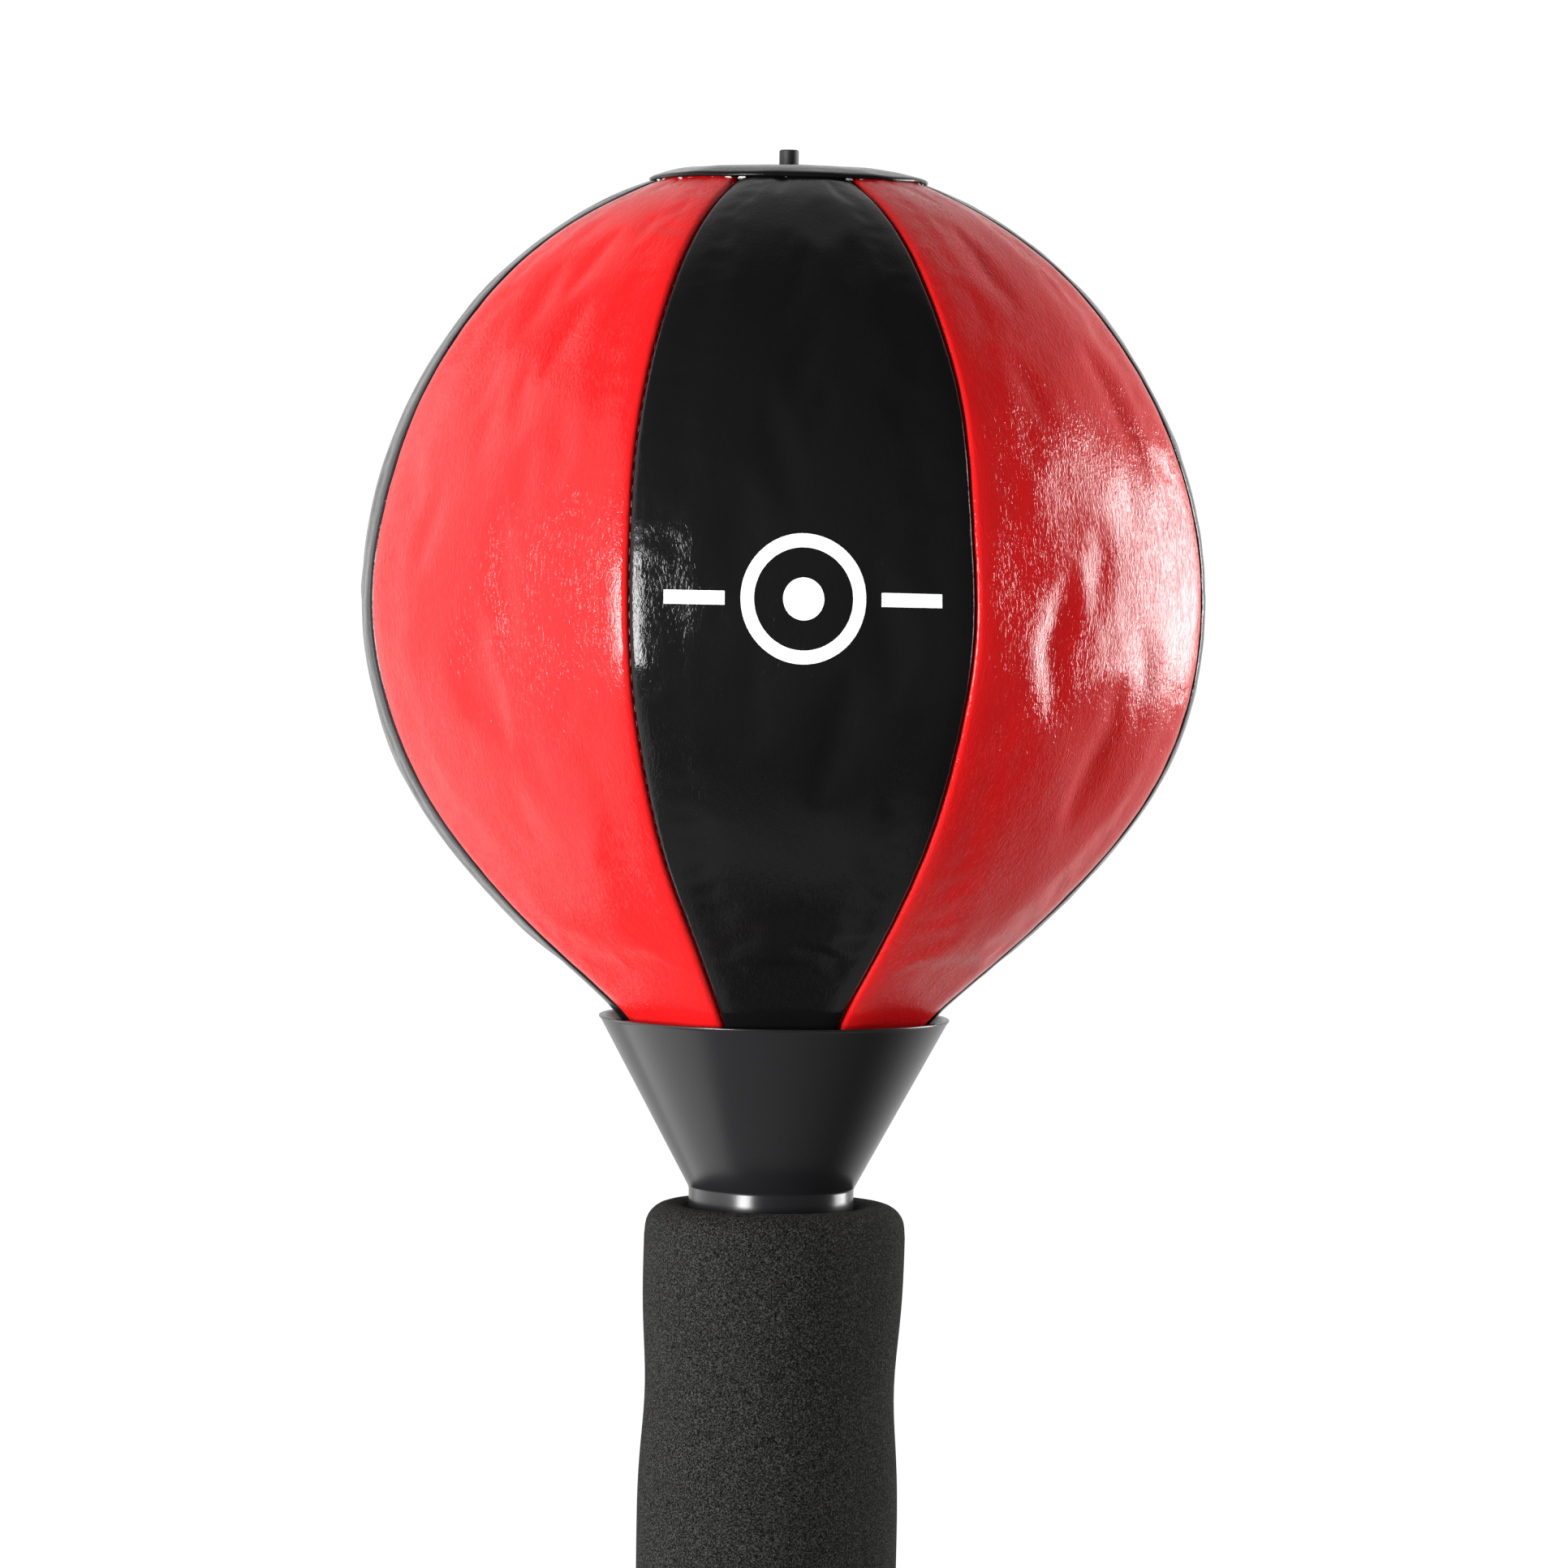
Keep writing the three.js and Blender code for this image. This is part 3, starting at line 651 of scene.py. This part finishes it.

# Foam sleeve ------------------------------
# Closed-cell nitrile foam, a thick tube pushed over the spring and the pole, with its ends
# ground round. It is made as an upper and a lower stretch, which meet where the real sleeve bends with
# the spring.

FOAM_LENGTH = 300 * MM
FOAM_RADIUS = 35.7  # in millimetres
FOAM_SPLIT = FOAM_TOP - 102.5 * MM  # the two stretches meet here
FOAM_SIDES = 120


def foam_radius(height):
    """The sleeve's outside at a height: a slight waist below the top, from its packing."""
    below = (FOAM_TOP - height) / MM
    waist = 1.75 * math.exp(-((below - 51) / 19) ** 2)
    swell = 0.35 * math.exp(-((below - 200) / 60) ** 2)
    return FOAM_RADIUS - waist + swell


def foam_side(low, high, step=4.0):
    """Rings up the sleeve's side between two heights."""
    count = max(2, round((high - low) / MM / step) + 1)
    return [(foam_radius(z), z / MM) for z in np.linspace(low, high, count)]


def rounded_edge(radius, height, size, start, end, steps=7):
    """Rings round a quarter of an edge, between two angles in degrees."""
    turns = [math.radians(start + (end - start) * k / steps) for k in range(steps + 1)]
    return [(radius + size * math.cos(t), height + size * math.sin(t)) for t in turns]


upper_rings = (
    foam_side(FOAM_SPLIT, FOAM_TOP - 9 * MM)
    + rounded_edge(28.9, foam_top - 6.6, 6.6, 4, 90)
    + [(26.5, foam_top - 0.25), (24.4, foam_top - 0.9), (23.2, foam_top - 1.9), (23, foam_top - 3.4)]
    + [(23, FOAM_SPLIT / MM), (foam_radius(FOAM_SPLIT), FOAM_SPLIT / MM)])
foot = foam_top - FOAM_LENGTH / MM
lower_rings = (
    [(16.6, foot)] + rounded_edge(29.7, foot + 6, 6, -90, 0)
    + foam_side(FOAM_TOP - 292 * MM, FOAM_SPLIT)
    + [(23, FOAM_SPLIT / MM), (23, 676), (16.6, 668), (16.6, foot)])


def lean_and_dents(piece):
    """Moves the foam's side as handling has left it: leaning a little, and not quite round."""
    for vertex in piece.data.vertices:
        spot = vertex.co
        reach = math.hypot(spot.x, spot.y)
        share = max(0.0, min(1.0, (reach - 24 * MM) / (6 * MM)))
        turn = math.atan2(spot.y, spot.x)
        below = (FOAM_TOP - spot.z) / MM
        dent = 0.25 * math.sin(2 * turn + below / 31) + 0.2 * math.sin(3 * turn - below / 19 + 1)
        lean = 1.05 * math.exp(-(below / 75) ** 2)
        spot.x += share * (lean + dent * math.cos(turn)) * MM
        spot.y += share * dent * math.sin(turn) * MM


foam, tree, surface = new_material("black nitrile foam")
cells = noise(tree, 0.7 * MM, 2.0, roughness=0.7)
specks = noise(tree, 0.45 * MM, 3.0, roughness=0.8)
lightness = spread(tree, specks, 0.0, 1.0, 0.46, 0.7)
fill(tree, surface, {
    "Base Color": blended(tree, lightness, linear("#080808"), linear("#585854")),
    "Normal": bumped(tree, cells, 0.35 * MM, under=bumped(tree, specks, 0.5 * MM)),
    "Roughness": 0.95, "Specular IOR Level": 0.1})

upper_foam = turned(upper_rings, FOAM_SIDES)
upper_foam.name = "foam_sleeve_upper"
lower_foam = turned(lower_rings, FOAM_SIDES)
lower_foam.name = "foam_sleeve_lower"
for piece in (upper_foam, lower_foam):
    lean_and_dents(piece)
    piece.data.materials.append(foam)
    only(piece)
    smoothed(50)
    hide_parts("foam_sleeve")
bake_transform(upper_foam)
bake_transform(lower_foam)

# Spring -----------------------------------
# Close-coiled spring steel wire of 8 mm, oil-blackened, hidden in the foam. It is made in
# the same two stretches as the foam, whole turns in each, split where the real spring bends.

WIRE_RADIUS = 4 * MM
COIL_RADIUS = 17 * MM
COIL_PITCH = 8.35 * MM
COIL_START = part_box("spring")[0].z + WIRE_RADIUS
LOWER_TURNS, UPPER_TURNS = 12, 8


def metal(name, light, dark, mark_size, detail, stretch, rough, span=(0.0, 1.0)):
    """Bare or plated metal whose tone and shine follow the fine marks of its making."""
    material, tree, surface = new_material(name)
    marks = noise(tree, mark_size, detail, stretch)
    fill(tree, surface, {
        "Base Color": blended(tree, marks, linear(light), linear(dark)),
        "Roughness": spread(tree, marks, *rough, *span), "Metallic": 1.0})
    return material


oiled_steel = metal(
    "oil-blackened spring steel", "#26282B", "#3C3B39", 6 * MM, 4.0, (1, 1, 1), (0.3, 0.5))


def coil(name, start, turns):
    """Whole turns of the wire from a height up, closed at both ends."""
    bpy.ops.mesh.primitive_circle_add(
        vertices=12, radius=WIRE_RADIUS, location=(COIL_RADIUS, 0, 0), rotation=(math.pi / 2, 0, 0))
    piece = bpy.context.object
    piece.name = name
    bpy.ops.object.transform_apply()
    finish_modifier(piece, "SCREW", axis="Z", angle=2 * math.pi, screw_offset=COIL_PITCH,
                    iterations=turns, steps=28, render_steps=28)
    editing(True)
    bpy.ops.mesh.select_all(action="SELECT")
    bpy.ops.mesh.fill_holes(sides=0)
    bpy.ops.mesh.select_all(action="SELECT")
    bpy.ops.mesh.normals_make_consistent(inside=False)
    editing(False)
    piece.location.z = start
    bpy.ops.object.transform_apply()
    smoothed(50)
    piece.data.materials.append(oiled_steel)
    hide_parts("spring")
    return piece


lower_coil = coil("spring_lower_turns", COIL_START, LOWER_TURNS)
upper_coil = coil("spring_upper_turns", COIL_START + LOWER_TURNS * COIL_PITCH, UPPER_TURNS)
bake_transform(lower_coil)
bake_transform(upper_coil)

# Hidden hardware --------------------------
# Turned and pressed steel with clear zinc plate, the bladder, the glide and the water. They
# lie inside other pieces, so the plain shapes of the frame stay and only take their finish.

zinc_plate, tree, surface = new_material("clear zinc-plated steel")
spangle = add_node(tree, "TexVoronoi", {
    "Vector": add_node(tree, "TexCoord").outputs["Object"], "Scale": 1 / (1.6 * MM)})
lathe_marks = noise(tree, 3 * MM, 3.0, (1, 1, 12))
fill(tree, surface, {
    "Base Color": blended(tree, spangle.outputs["Distance"], linear("#B4B8BC"), linear("#A4A8AE")),
    "Roughness": spread(tree, lathe_marks, 0.25, 0.45), "Metallic": 1.0})

white_nylon = moulded("natural white nylon", "#D9D7D0", 0.4, 0.6 * MM, 0.01 * MM)
bladder_rubber = moulded("butyl rubber", "#332D2A", 0.6, 0.4 * MM, 0.02 * MM)
still_water = moulded("water", "#8FA6AE", 0.05, 40 * MM, 0.02 * MM)


def dress(material, *names):
    """Gives nodes of the frame their finish, in the slot that they have."""
    for name in names:
        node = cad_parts[name]
        if not node.material_slots:
            node.data.materials.append(material)
        node.material_slots[0].material = material


dress(zinc_plate, "spring_bottom_plug", "spring_top_plug", "ball_washer", "ball_base_plate",
      "cross_bolt", "cross_nut", "pole_foot_plug", "base_bolt")
dress(white_nylon, "pole_glide")
dress(bladder_rubber, "bladder")
dress(black_rubber, "filler_gasket")
dress(still_water, "water_fill")

# Upper pole -------------------------------
# Steel tube of 32 mm with bright chrome plate, which slides in the lower pole. Years of the
# clamp's grip leave faint rubbed lines along it.


def tube(name, node, inner, outer, low, high):
    """A length of tube with its cut ends eased, radii and heights in millimetres."""
    piece = turned([(inner, low), (outer, low), (outer, high), (inner, high), (inner, low)], 96)
    piece.name = name
    edges_rounded(piece, 0.3)
    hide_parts(node)
    return piece


def cut_out(piece, cutter, operation="DIFFERENCE"):
    """Cuts one shape out of a piece, or joins it on, and clears the cutter away."""
    finish_modifier(piece, "BOOLEAN", object=cutter, operation=operation, solver="EXACT")
    bpy.data.objects.remove(cutter)
    return piece


def bar(radius, length, centre, axis, sides=32):
    """A round bar that lies along an axis, its middle at a place, all in millimetres."""
    turn = {"X": (0, math.pi / 2, 0), "Y": (math.pi / 2, 0, 0), "Z": (0, 0, 0)}[axis]
    bpy.ops.mesh.primitive_cylinder_add(
        vertices=sides, radius=radius * MM, depth=length * MM, rotation=turn,
        location=[c * MM for c in centre])
    bpy.ops.object.transform_apply()
    return bpy.context.object


def block(centre, size, turn=0.0):
    """A box with its middle at a place, turned about the upright, in millimetres."""
    bpy.ops.mesh.primitive_cube_add(
        size=1, location=[c * MM for c in centre], rotation=(0, 0, turn),
        scale=[s * MM for s in size])
    bpy.ops.object.transform_apply()
    return bpy.context.object


upper_low, upper_high = (corner.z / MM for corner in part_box("upper_pole"))
cross_bolt_height = (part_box("cross_bolt")[0].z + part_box("cross_bolt")[1].z) / 2 / MM
upper_tube = tube("upper_pole_tube", "upper_pole", 14.5, 16, upper_low, upper_high)
cut_out(upper_tube, bar(3.4, 60, (0, 0, cross_bolt_height), "Y"))
smoothed()

chrome = metal("bright chrome plate", "#CDCFD1", "#BFC1C4", 1.5 * MM, 4.0, (1, 1, 0.03),
               (0.06, 0.22), (0.45, 0.75))
upper_tube.data.materials.append(chrome)
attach(upper_tube, "mast")

# Lower pole -------------------------------
# Steel tube of 38 mm, powder coated black, bolted down through the tank. The baked powder
# leaves a fine orange-peel skin.

lower_low, lower_high = (corner.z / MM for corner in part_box("lower_pole"))
screw_height = (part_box("collar_screw_front")[0].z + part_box("collar_screw_front")[1].z) / 2 / MM
lower_tube = tube("lower_pole_tube", "lower_pole", 17.2, 19, lower_low, lower_high)
cut_out(lower_tube, bar(2.2, 60, (0, 0, screw_height), "Y", 24))
smoothed()
powder_coat = moulded("black powder coat", "#1B1B1D", 0.38, 1.8 * MM, 0.035 * MM, 60 * MM)
lower_tube.data.materials.append(powder_coat)
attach(lower_tube, "stand")

# Height collar ----------------------------
# Moulded glass-filled nylon, pressed over the lower pole's top and held by two screws. Its
# boss carries the clamp's brass insert, with two webs under it that brace it.

clamp_height = (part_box("lock_stud")[0].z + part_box("lock_stud")[1].z) / 2 / MM
collar_low, collar_high = (corner.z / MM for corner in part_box("height_collar"))
collar = turned([
    (19.3, collar_low), (24.5, collar_low), (26, collar_low + 2), (26, collar_low + 6),
    (25.2, collar_low + 6.8), (25.2, collar_high - 11), (26, collar_high - 10.2),
    (26, collar_high - 4), (25, collar_high - 1.4), (23, collar_high), (16.4, collar_high),
    (16.4, lower_high + 0.5), (19.3, lower_high + 0.5), (19.3, collar_low)], 96)
cut_out(collar, bar(12, 22, (33, 0, clamp_height), "X", 64), "UNION")
for side in (-1, 1):
    web = block((31, side * 5, clamp_height - 14), (16, 3, 14))
    editing(True)
    bpy.ops.mesh.select_all(action="DESELECT")
    editing(False)
    for vertex in web.data.vertices:
        vertex.select = vertex.co.x > 31 * MM and vertex.co.z < (clamp_height - 14) * MM
    editing(True)
    bpy.ops.transform.translate(value=(-12 * MM, 0, 0))
    editing(False)
    cut_out(collar, web, "UNION")
cut_out(collar, bar(16.4, 60, (0, 0, clamp_height), "Z", 96))
cut_out(collar, bar(4.5, 40, (30, 0, clamp_height), "X"))
cut_out(collar, bar(6.8, 20.3, (29.7 + 10.15, 0, clamp_height), "X", 48))
cut_out(collar, bar(2.2, 60, (0, 0, screw_height), "Y", 24))
edges_rounded(collar, 0.5, 2)
moulded_nylon = moulded("black glass-filled nylon", "#161617", 0.42, 0.6 * MM, 0.03 * MM)
finished(collar, "height_collar_body", moulded_nylon)
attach(collar, "stand")
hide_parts("height_collar")

# Collar screws and brass insert -----------
# Two zinc-plated pan-head screws with a cross recess, and the turned brass insert, pressed
# warm into the boss, that the clamp's stud runs in.

for side, node in ((-1, "collar_screw_front"), (1, "collar_screw_back")):
    screw = turned([(1.9, 17.5), (1.9, 26.3), (4, 26.3), (4, 27.3), (3.5, 28.4), (2.6, 28.95),
                    (1.2, 29.2)], 40)
    for turn in (0, math.pi / 2):
        cut_out(screw, block((0, 0, 28.9), (4.6, 0.9, 2.2), turn))
    screw.rotation_euler.x = -side * math.pi / 2
    screw.location.z = screw_height * MM
    only(screw)
    bpy.ops.object.transform_apply()
    smoothed()
    finished(screw, node + "_pan_head", zinc_plate)
    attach(screw, "stand")
    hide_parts(node)


def laid_along_x(piece, height):
    """Turns a piece made upright so that it lies along X, at a height in millimetres."""
    only(piece)
    piece.rotation_euler.y = math.pi / 2
    piece.location.z = height * MM
    bpy.ops.object.transform_apply()
    return piece


insert = turned([(4.3, 30), (6.4, 30), (6.4, 44), (4.3, 44), (4.3, 30)], 56)
edges_rounded(insert, 0.35)
laid_along_x(insert, clamp_height)
turned_brass = metal("turned brass", "#B8965A", "#9C7B44", 1.5 * MM, 3.0, (8, 1, 1), (0.22, 0.4))
finished(insert, "brass_insert", turned_brass)
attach(insert, "stand")
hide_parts("threaded_insert")

# Clamp screw ------------------------------
# A five-lobed knob of the same nylon, moulded round a zinc-plated stud of 8 mm with a coarse
# thread. Turned in, the stud presses on the upper pole and holds its height.

LOBES = 5
LOBE_DEPTH = 6  # how far the hollows between the lobes go in
knob = turned([
    (9, 71), (9.6, 71.2), (10.2, 72), (21, 72), (22.6, 71.8), (24.2, 71.1), (25.4, 69.9), (26, 68.2),
    (26, 58.6), (25.3, 56.6), (23.8, 55.4), (22, 55), (11, 55), (10.6, 50.4), (10, 50), (4.3, 50),
    (4.3, 66)], 140)
for vertex in knob.data.vertices:
    spot = vertex.co
    reach = math.hypot(spot.x, spot.y) / MM
    hollow = 0.5 - 0.5 * math.cos(LOBES * math.atan2(spot.y, spot.x))
    share = max(0.0, reach - 12) / 14
    shrink = 1 - LOBE_DEPTH * hollow * share / max(reach, 1)
    spot.x *= shrink
    spot.y *= shrink
smoothed()
laid_along_x(knob, clamp_height)
finished(knob, "clamp_knob", moulded_nylon)
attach(knob, "clamp")
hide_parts("lock_knob")

stud_start, stud_end = (corner.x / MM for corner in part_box("lock_stud"))
THREAD_PITCH = 1.25
thread_rings = [(2.8, stud_start), (3.5, stud_start + 0.7)]
crest = stud_start + 1.4
while crest < stud_end - 2:
    thread_rings += [(4.0, crest), (4.0, crest + 0.25), (3.4, crest + 0.65), (3.4, crest + 0.85)]
    crest += THREAD_PITCH
thread_rings += [(4.0, crest), (4.0, stud_end)]
stud = turned(thread_rings, 40)
smoothed()
laid_along_x(stud, clamp_height)
finished(stud, "clamp_stud", zinc_plate)
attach(stud, "clamp")
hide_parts("lock_stud")

# Tank -------------------------------------
# Blow-moulded polyethylene, black and satin, 430 mm across, with shallow panels pressed into
# its sloping top for stiffness, a boss that holds the pole, and the filler's neck.

TANK_SIDES = 120
PANEL_FIELDS = 12  # sectors of the sloping top, each with a sunken panel
FILLER_ROOM = 20  # but not within so many degrees of the filler
SUNK_SIDES = 7  # of the ten sides in a sector
SUNK_DEPTH = 2.4


def apart(first, second):
    """The angle between two directions, in degrees."""
    return abs((first - second + 180) % 360 - 180)


cap_low, cap_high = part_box("filler_cap")
filler_x = (cap_low.x + cap_high.x) / 2 / MM
filler_y = (cap_low.y + cap_high.y) / 2 / MM
boss_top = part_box("base_shell")[1].z / MM
tank = turned([
    (5.5, 20), (20, 20), (20, 6), (120, 6), (203, 6), (211.5, 9.5), (215, 18), (215, 30), (214.2, 38),
    (212, 62), (210.8, 67.5), (207.6, 72), (203, 74.9), (191, 79.1), (89, 112.9), (72, 118.4), (65, 121),
    (58.5, 125.2), (55, 129.6), (52.4, 134), (49.8, 136.9), (47, boss_top), (19.5, boss_top),
    (19.5, 24.5), (5.5, 24.5), (5.5, 20)], TANK_SIDES)
filler_turn = math.degrees(math.atan2(filler_y, filler_x)) % 360
for field in range(PANEL_FIELDS):
    middle = field * 360 / PANEL_FIELDS
    if apart(middle, filler_turn) < FILLER_ROOM:
        continue
    for face in tank.data.polygons:
        reach = math.hypot(face.center.x, face.center.y) / MM
        turn = math.degrees(math.atan2(face.center.y, face.center.x))
        on_slope = 120 < reach < 160 and face.normal.z > 0.5
        face.select = on_slope and apart(turn, middle) < SUNK_SIDES * 360 / TANK_SIDES / 2
    for part in (*tank.data.edges, *tank.data.vertices):
        part.select = False
    editing(True)
    bpy.ops.mesh.select_mode(type="FACE")
    bpy.ops.mesh.inset(thickness=3 * MM, depth=0)
    bpy.ops.mesh.inset(thickness=2.2 * MM, depth=-SUNK_DEPTH * MM)
    editing(False)
cut_out(tank, bar(22, 36, (filler_x, filler_y, 108), "Z", 96), "UNION")
cut_out(tank, bar(18, 42, (filler_x, filler_y, 106), "Z", 96))
edges_rounded(tank, 1.0, 3)
blown_hdpe = moulded("blow-moulded black polyethylene", "#171718", 0.45, 1.4 * MM, 0.06 * MM, 80 * MM)
finished(tank, "base_tank", blown_hdpe)
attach(tank, "stand")
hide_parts("base_shell")

# Trim ring --------------------------------
# A moulded ring that drops down the pole and hides the joint between it and the boss.

trim_low, trim_high = (corner.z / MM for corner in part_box("base_trim_ring"))
trim = turned(above(trim_low, [
    (19.3, 0), (36, 0), (36, 3.7), (34.6, 6.2), (32, 8.4), (28.6, 10), (24, 11.2)])
    + [(20, trim_high), (19.3, trim_high), (19.3, trim_low)], 96)
edges_rounded(trim, 0.4)
finished(trim, "pole_trim_ring", moulded_nylon)
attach(trim, "stand")
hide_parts("base_trim_ring")

# Filler cap -------------------------------
# A red polypropylene screw cap with a ribbed skirt and a bar across its top to turn it by.
# Its stopper goes down inside the neck, onto the gasket.

RIBBED_SIDES = 96
skirt_low, grip_top = cap_low.z / MM, cap_high.z / MM
cap_top = grip_top - 7.5
cap = turned([(22.5, skirt_low), (26, skirt_low), (26.5, skirt_low + 0.6)] + above(cap_top, [
    (26.5, -3.4), (26.2, -1.6), (24.6, 0), (6, 0), (6, -9), (17.4, -9), (17.4, -2.9),
    (22.5, -2.9)]) + [(22.5, skirt_low)], RIBBED_SIDES)
for face in cap.data.polygons:
    reach = math.hypot(face.center.x, face.center.y) / MM
    number = round(math.atan2(face.center.y, face.center.x) / (2 * math.pi) * RIBBED_SIDES - 0.5)
    skirt = reach > 26.2 and abs(face.normal.z) < 0.1 and face.center.z < (cap_top - 2) * MM
    face.select = skirt and number % 2 == 0
for part in (*cap.data.edges, *cap.data.vertices):
    part.select = False
editing(True)
bpy.ops.mesh.select_mode(type="FACE")
bpy.ops.mesh.inset(thickness=0.25 * MM, depth=-0.6 * MM, use_individual=True)
editing(False)
cut_out(cap, bar(6.2, 9.4, (0, 0, cap_top - 4.65), "Z", RIBBED_SIDES), "UNION")
grip = block((0, 0, (cap_top + grip_top - 1) / 2), (44, 9, grip_top - cap_top + 1))
finish_modifier(grip, "BEVEL", width=3 * MM, segments=5)
cut_out(cap, grip, "UNION")
edges_rounded(cap, 0.3, 2)
cap.location = (filler_x * MM, filler_y * MM, 0)
bpy.ops.object.transform_apply()
red_cap = moulded("red polypropylene", "#B92428", 0.35, 0.8 * MM, 0.02 * MM)
finished(cap, "filler_screw_cap", red_cap)
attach(cap, "cap")
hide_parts("filler_cap")

# Feet and washer --------------------------
# Six moulded rubber pads pushed onto studs under the tank, each with two grooves that grip,
# and the large pressed washer under the pole's bolt.

for number in range(1, 7):
    low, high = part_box(f"foot_{number}")
    foot = turned([
        (3, 0.8), (5, 0), (8, 0), (8.6, 0.9), (9.6, 0.9), (10.2, 0), (12.5, 0), (14, 1.5),
        (14, high.z / MM)], 48, (low.x + high.x) / 2, (low.y + high.y) / 2)
    edges_rounded(foot, 0.3, 2)
    finished(foot, f"rubber_foot_{number}", black_rubber)
    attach(foot, "stand")
    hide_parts(f"foot_{number}")

washer_low, washer_high = (corner.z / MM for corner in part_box("base_washer"))
washer = turned([
    (5.4, washer_low), (15, washer_low), (15, washer_high), (5.4, washer_high), (5.4, washer_low)], 72)
edges_rounded(washer, 0.3)
finished(washer, "pole_bolt_washer", zinc_plate)
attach(washer, "stand")
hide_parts("base_washer")

# Room -------------------------------------
# A plain white room: a pale floor that runs up into white, a tall box light at the front
# left, a broad weak one at the left, a bright one at the right, and a darker room in front.

BALL_MIDDLE = Vector((0, 0, FOAM_TOP + 160 * MM))
BACKDROP_WHITE = 1.05  # what the camera sees behind the piece

bpy.ops.mesh.primitive_circle_add(vertices=96, radius=3.0, fill_type="NGON", location=(0, 0, 0))
floor = bpy.context.object
floor.name = "floor"
floor_paint, tree, surface = new_material("matt pale floor")
mottle = noise(tree, 1 / 6, 3.0)
fill(tree, surface, {
    "Base Color": blended(tree, mottle, linear("#E4E4E2"), linear("#EDEDEB")), "Roughness": 0.7})
place = add_node(tree, "TexCoord").outputs["Object"]
reach = add_node(tree, "VectorMath", {0: place}, operation="LENGTH").outputs["Value"]
sweep = spread(tree, reach, 0.3, 1.0, 0.35, 1.25, "SMOOTHSTEP")
white = add_node(tree, "Emission", {"Strength": 1.0})
pale = add_node(tree, "MixShader", {0: sweep, 1: surface.outputs[0], 2: white.outputs[0]})
dark = add_node(tree, "BsdfDiffuse", {"Color": linear("#8E8E8C")})
clear = add_node(tree, "BsdfTransparent")
beyond = spread(tree, reach, 0.0, 1.0, 0.4, 0.9)
unseen = add_node(tree, "MixShader", {0: beyond, 1: dark.outputs[0], 2: clear.outputs[0]})
seen = add_node(tree, "LightPath").outputs["Is Camera Ray"]
both = add_node(tree, "MixShader", {0: seen, 1: unseen.outputs[0], 2: pale.outputs[0]})
fill(tree, tree.nodes["Material Output"], {"Surface": both.outputs[0]})
floor.data.materials.append(floor_paint)


def box_light(name, azimuth, elevation, distance, width, height, radiance):
    """A soft box round the ball: azimuth from the front towards +X, radiance on its face."""
    lamp = bpy.data.lights.new(name, "AREA")
    lamp.shape = "RECTANGLE"
    lamp.size, lamp.size_y = width, height
    lamp.energy = radiance * math.pi * width * height
    light = bpy.data.objects.new(name, lamp)
    turn, rise = math.radians(azimuth), math.radians(elevation)
    away = Vector((math.sin(turn) * math.cos(rise), -math.cos(turn) * math.cos(rise), math.sin(rise)))
    light.location = BALL_MIDDLE + distance * away
    light.rotation_euler = away.to_track_quat("Z", "Y").to_euler()
    light.visible_camera = False
    bpy.context.scene.collection.objects.link(light)


box_light("key light", -38, -2, 1.6, 0.50, 0.74, 38)
box_light("left panel", -88, -8, 1.4, 2.7, 3.2, 1.4)
box_light("right light", 114, 4, 1.7, 0.8, 1.0, 15.5)

world = bpy.data.worlds.new("white room")
bpy.context.scene.world = world
world.use_nodes = True
tree = world.node_tree
heading = add_node(tree, "SeparateXYZ", {
    0: add_node(tree, "TexCoord").outputs["Generated"]}).outputs
around = spread(tree, heading["Y"], 0.12, 0.85, -0.05, 0.7, "SMOOTHSTEP")
overhead = spread(tree, heading["Z"], 1.0, 0.5, 0.3, 0.8, "SMOOTHSTEP")
below = spread(tree, heading["Z"], 0.3, 1.0, -0.85, -0.3, "SMOOTHSTEP")
glow = maths(tree, "MULTIPLY", maths(tree, "MULTIPLY", around, overhead), below)
to_camera = add_node(tree, "LightPath").outputs["Is Camera Ray"]
level = add_node(tree, "Mix", {0: to_camera, 2: glow, 3: BACKDROP_WHITE})
fill(tree, tree.nodes["Background"], {"Strength": level.outputs[0], "Color": (1, 1, 1, 1)})

CAMERA_SIDE = 1.6 * MM
CAMERA_ROLL = 1.0  # degrees

camera_data = bpy.data.cameras.new("camera")
camera_data.sensor_width = 36
camera_data.lens = 155.5
camera = bpy.data.objects.new("camera", camera_data)
camera.location = (CAMERA_SIDE, -1.85, FOAM_TOP + 188 * MM)
target = Vector((CAMERA_SIDE, 0, FOAM_TOP + 115 * MM))
look = (target - camera.location).to_track_quat("-Z", "Y").to_matrix()
camera.rotation_euler = (look @ Matrix.Rotation(math.radians(CAMERA_ROLL), 3, "Z")).to_euler()
bpy.context.scene.collection.objects.link(camera)
bpy.context.scene.camera = camera
bpy.context.scene.view_settings.view_transform = "Standard"
